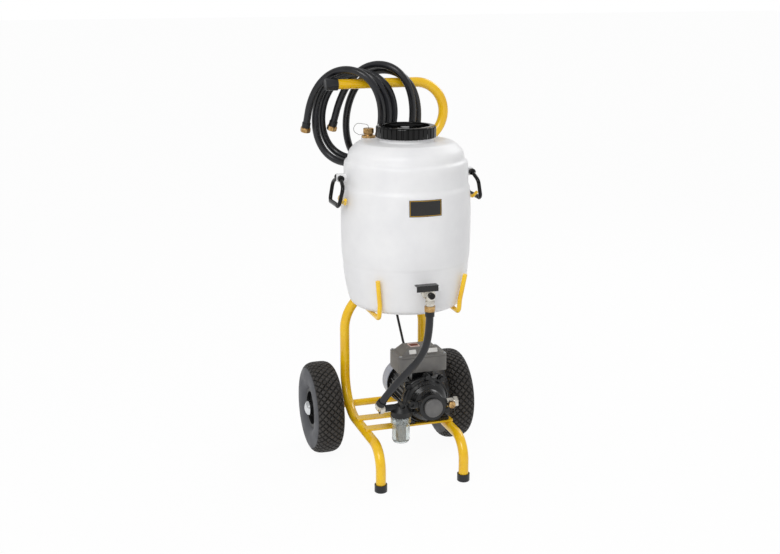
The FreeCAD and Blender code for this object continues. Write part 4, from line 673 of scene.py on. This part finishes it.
def label_grid(wide=86.5, high=42.0, middle=(-3.0, 761.0)):
    """A film on the belly: x = r sin(w / r), y = axis - r cos(w / r), r = belly + 0.15 or 0.5 mm.
    The border is a line 1 mm wide, 1.6 mm inside the edge."""
    w = np.linspace(-wide / 2, wide / 2, 87)[:, None]
    z = np.linspace(-high / 2, high / 2, 43)
    inset = np.minimum(wide / 2 - np.abs(w), high / 2 - np.abs(z)[None])
    border = ((inset > 1.6) & (inset < 2.6)).astype(float)
    height = middle[1] + z[None] + 0 * w
    belly = np.interp(height - TANK[2], [255, 318], [171.5, 168.5])

    def skin(lift):
        r = belly + lift
        a = (middle[0] + w) / r
        return np.stack([r * np.sin(a), TANK[1] - r * np.cos(a), height], axis=-1)

    grid = np.concatenate([skin(0.5), skin(0.15)[:, ::-1]], axis=1)
    marks = np.concatenate([border, 0 * border], axis=1)
    ends = [np.broadcast_to(grid[k].mean(0), grid[k].shape)[None] for k in (0, -1)]
    return (np.concatenate([ends[0], grid, ends[1]]),
            np.concatenate([marks[:1] * 0, marks, marks[:1] * 0]))


film, border_marks = label_grid()
piece("label_film", [film], label_print, "cart", 50.0, {"border": border_marks})

# %% [markdown]
# A plain white floor, a white surround and soft light from two large lamps, so that colours
# come out as they are written. The floor glows evenly to the camera, in reflections and through
# clear plastic, and a small share of plain paint in it still takes the shadow.

# %% Floor and light
FLOOR_HALF = 30
FLOOR_GLOW = 0.95
LAMP_AIM = (0, 0, 0.5)
stage_white = bpy.data.materials.new("floor_white")
stage_white.use_nodes = True
tree = stage_white.node_tree
ways = add(tree, "ShaderNodeLightPath")
glow = add(tree, "ShaderNodeEmission", {"Color": (1, 1, 1, 1), "Strength": 1.0})
shown = add(tree, "ShaderNodeMath", {"operation": "ADD", "use_clamp": True},
            {0: ways.outputs["Is Camera Ray"], 1: ways.outputs["Is Glossy Ray"]})
seen = add(tree, "ShaderNodeMath", {"operation": "ADD", "use_clamp": True},
           {0: shown.outputs[0], 1: ways.outputs["Is Transmission Ray"]})
part = add(tree, "ShaderNodeMath", {"operation": "MULTIPLY", 1: FLOOR_GLOW}, {0: seen.outputs[0]})
shader = tree.nodes["Principled BSDF"]
shader.inputs["Base Color"].default_value = linear("F4F4F4")
shader.inputs["Roughness"].default_value = 0.8
mixed = add(tree, "ShaderNodeMixShader", (),
            {0: part.outputs[0], 1: shader.outputs[0], 2: glow.outputs[0]})
tree.links.new(mixed.outputs[0], tree.nodes["Material Output"].inputs["Surface"])
floor_mesh = bpy.data.meshes.new("floor")
floor_mesh.from_pydata([(x * FLOOR_HALF, y * FLOOR_HALF, 0) for x, y in ((-1, -1), (1, -1), (1, 1), (-1, 1))],
                       [], [(0, 1, 2, 3)])
floor = bpy.data.objects.new("floor", floor_mesh)
bpy.context.collection.objects.link(floor)
wear(floor, stage_white)

world = bpy.data.worlds.new("studio")
bpy.context.scene.world = world
world.use_nodes = True
tree = world.node_tree
ways = add(tree, "ShaderNodeLightPath")
back = tree.nodes["Background"]
back.inputs["Color"].default_value = (1, 1, 1, 1)
strength = add(tree, "ShaderNodeMapRange", {"To Min": 0.62, "To Max": 1.0},
               {"Value": ways.outputs["Is Camera Ray"]})
tree.links.new(strength.outputs[0], back.inputs["Strength"])
LAMPS = (("key", (-1.6, -2.2, 2.6), 1.6, 42.0), ("rim", (2.2, 1.2, 2.4), 1.4, 22.0))
for name, spot, size, power in LAMPS:
    lamp = bpy.data.objects.new(name, bpy.data.lights.new(name, "AREA"))
    lamp.data.size = size
    lamp.data.energy = power
    lamp.location = spot
    lamp.rotation_euler = (Vector(LAMP_AIM) - lamp.location).to_track_quat("-Z", "Y").to_euler()
    bpy.context.collection.objects.link(lamp)
bpy.context.scene.view_settings.view_transform = "Standard"
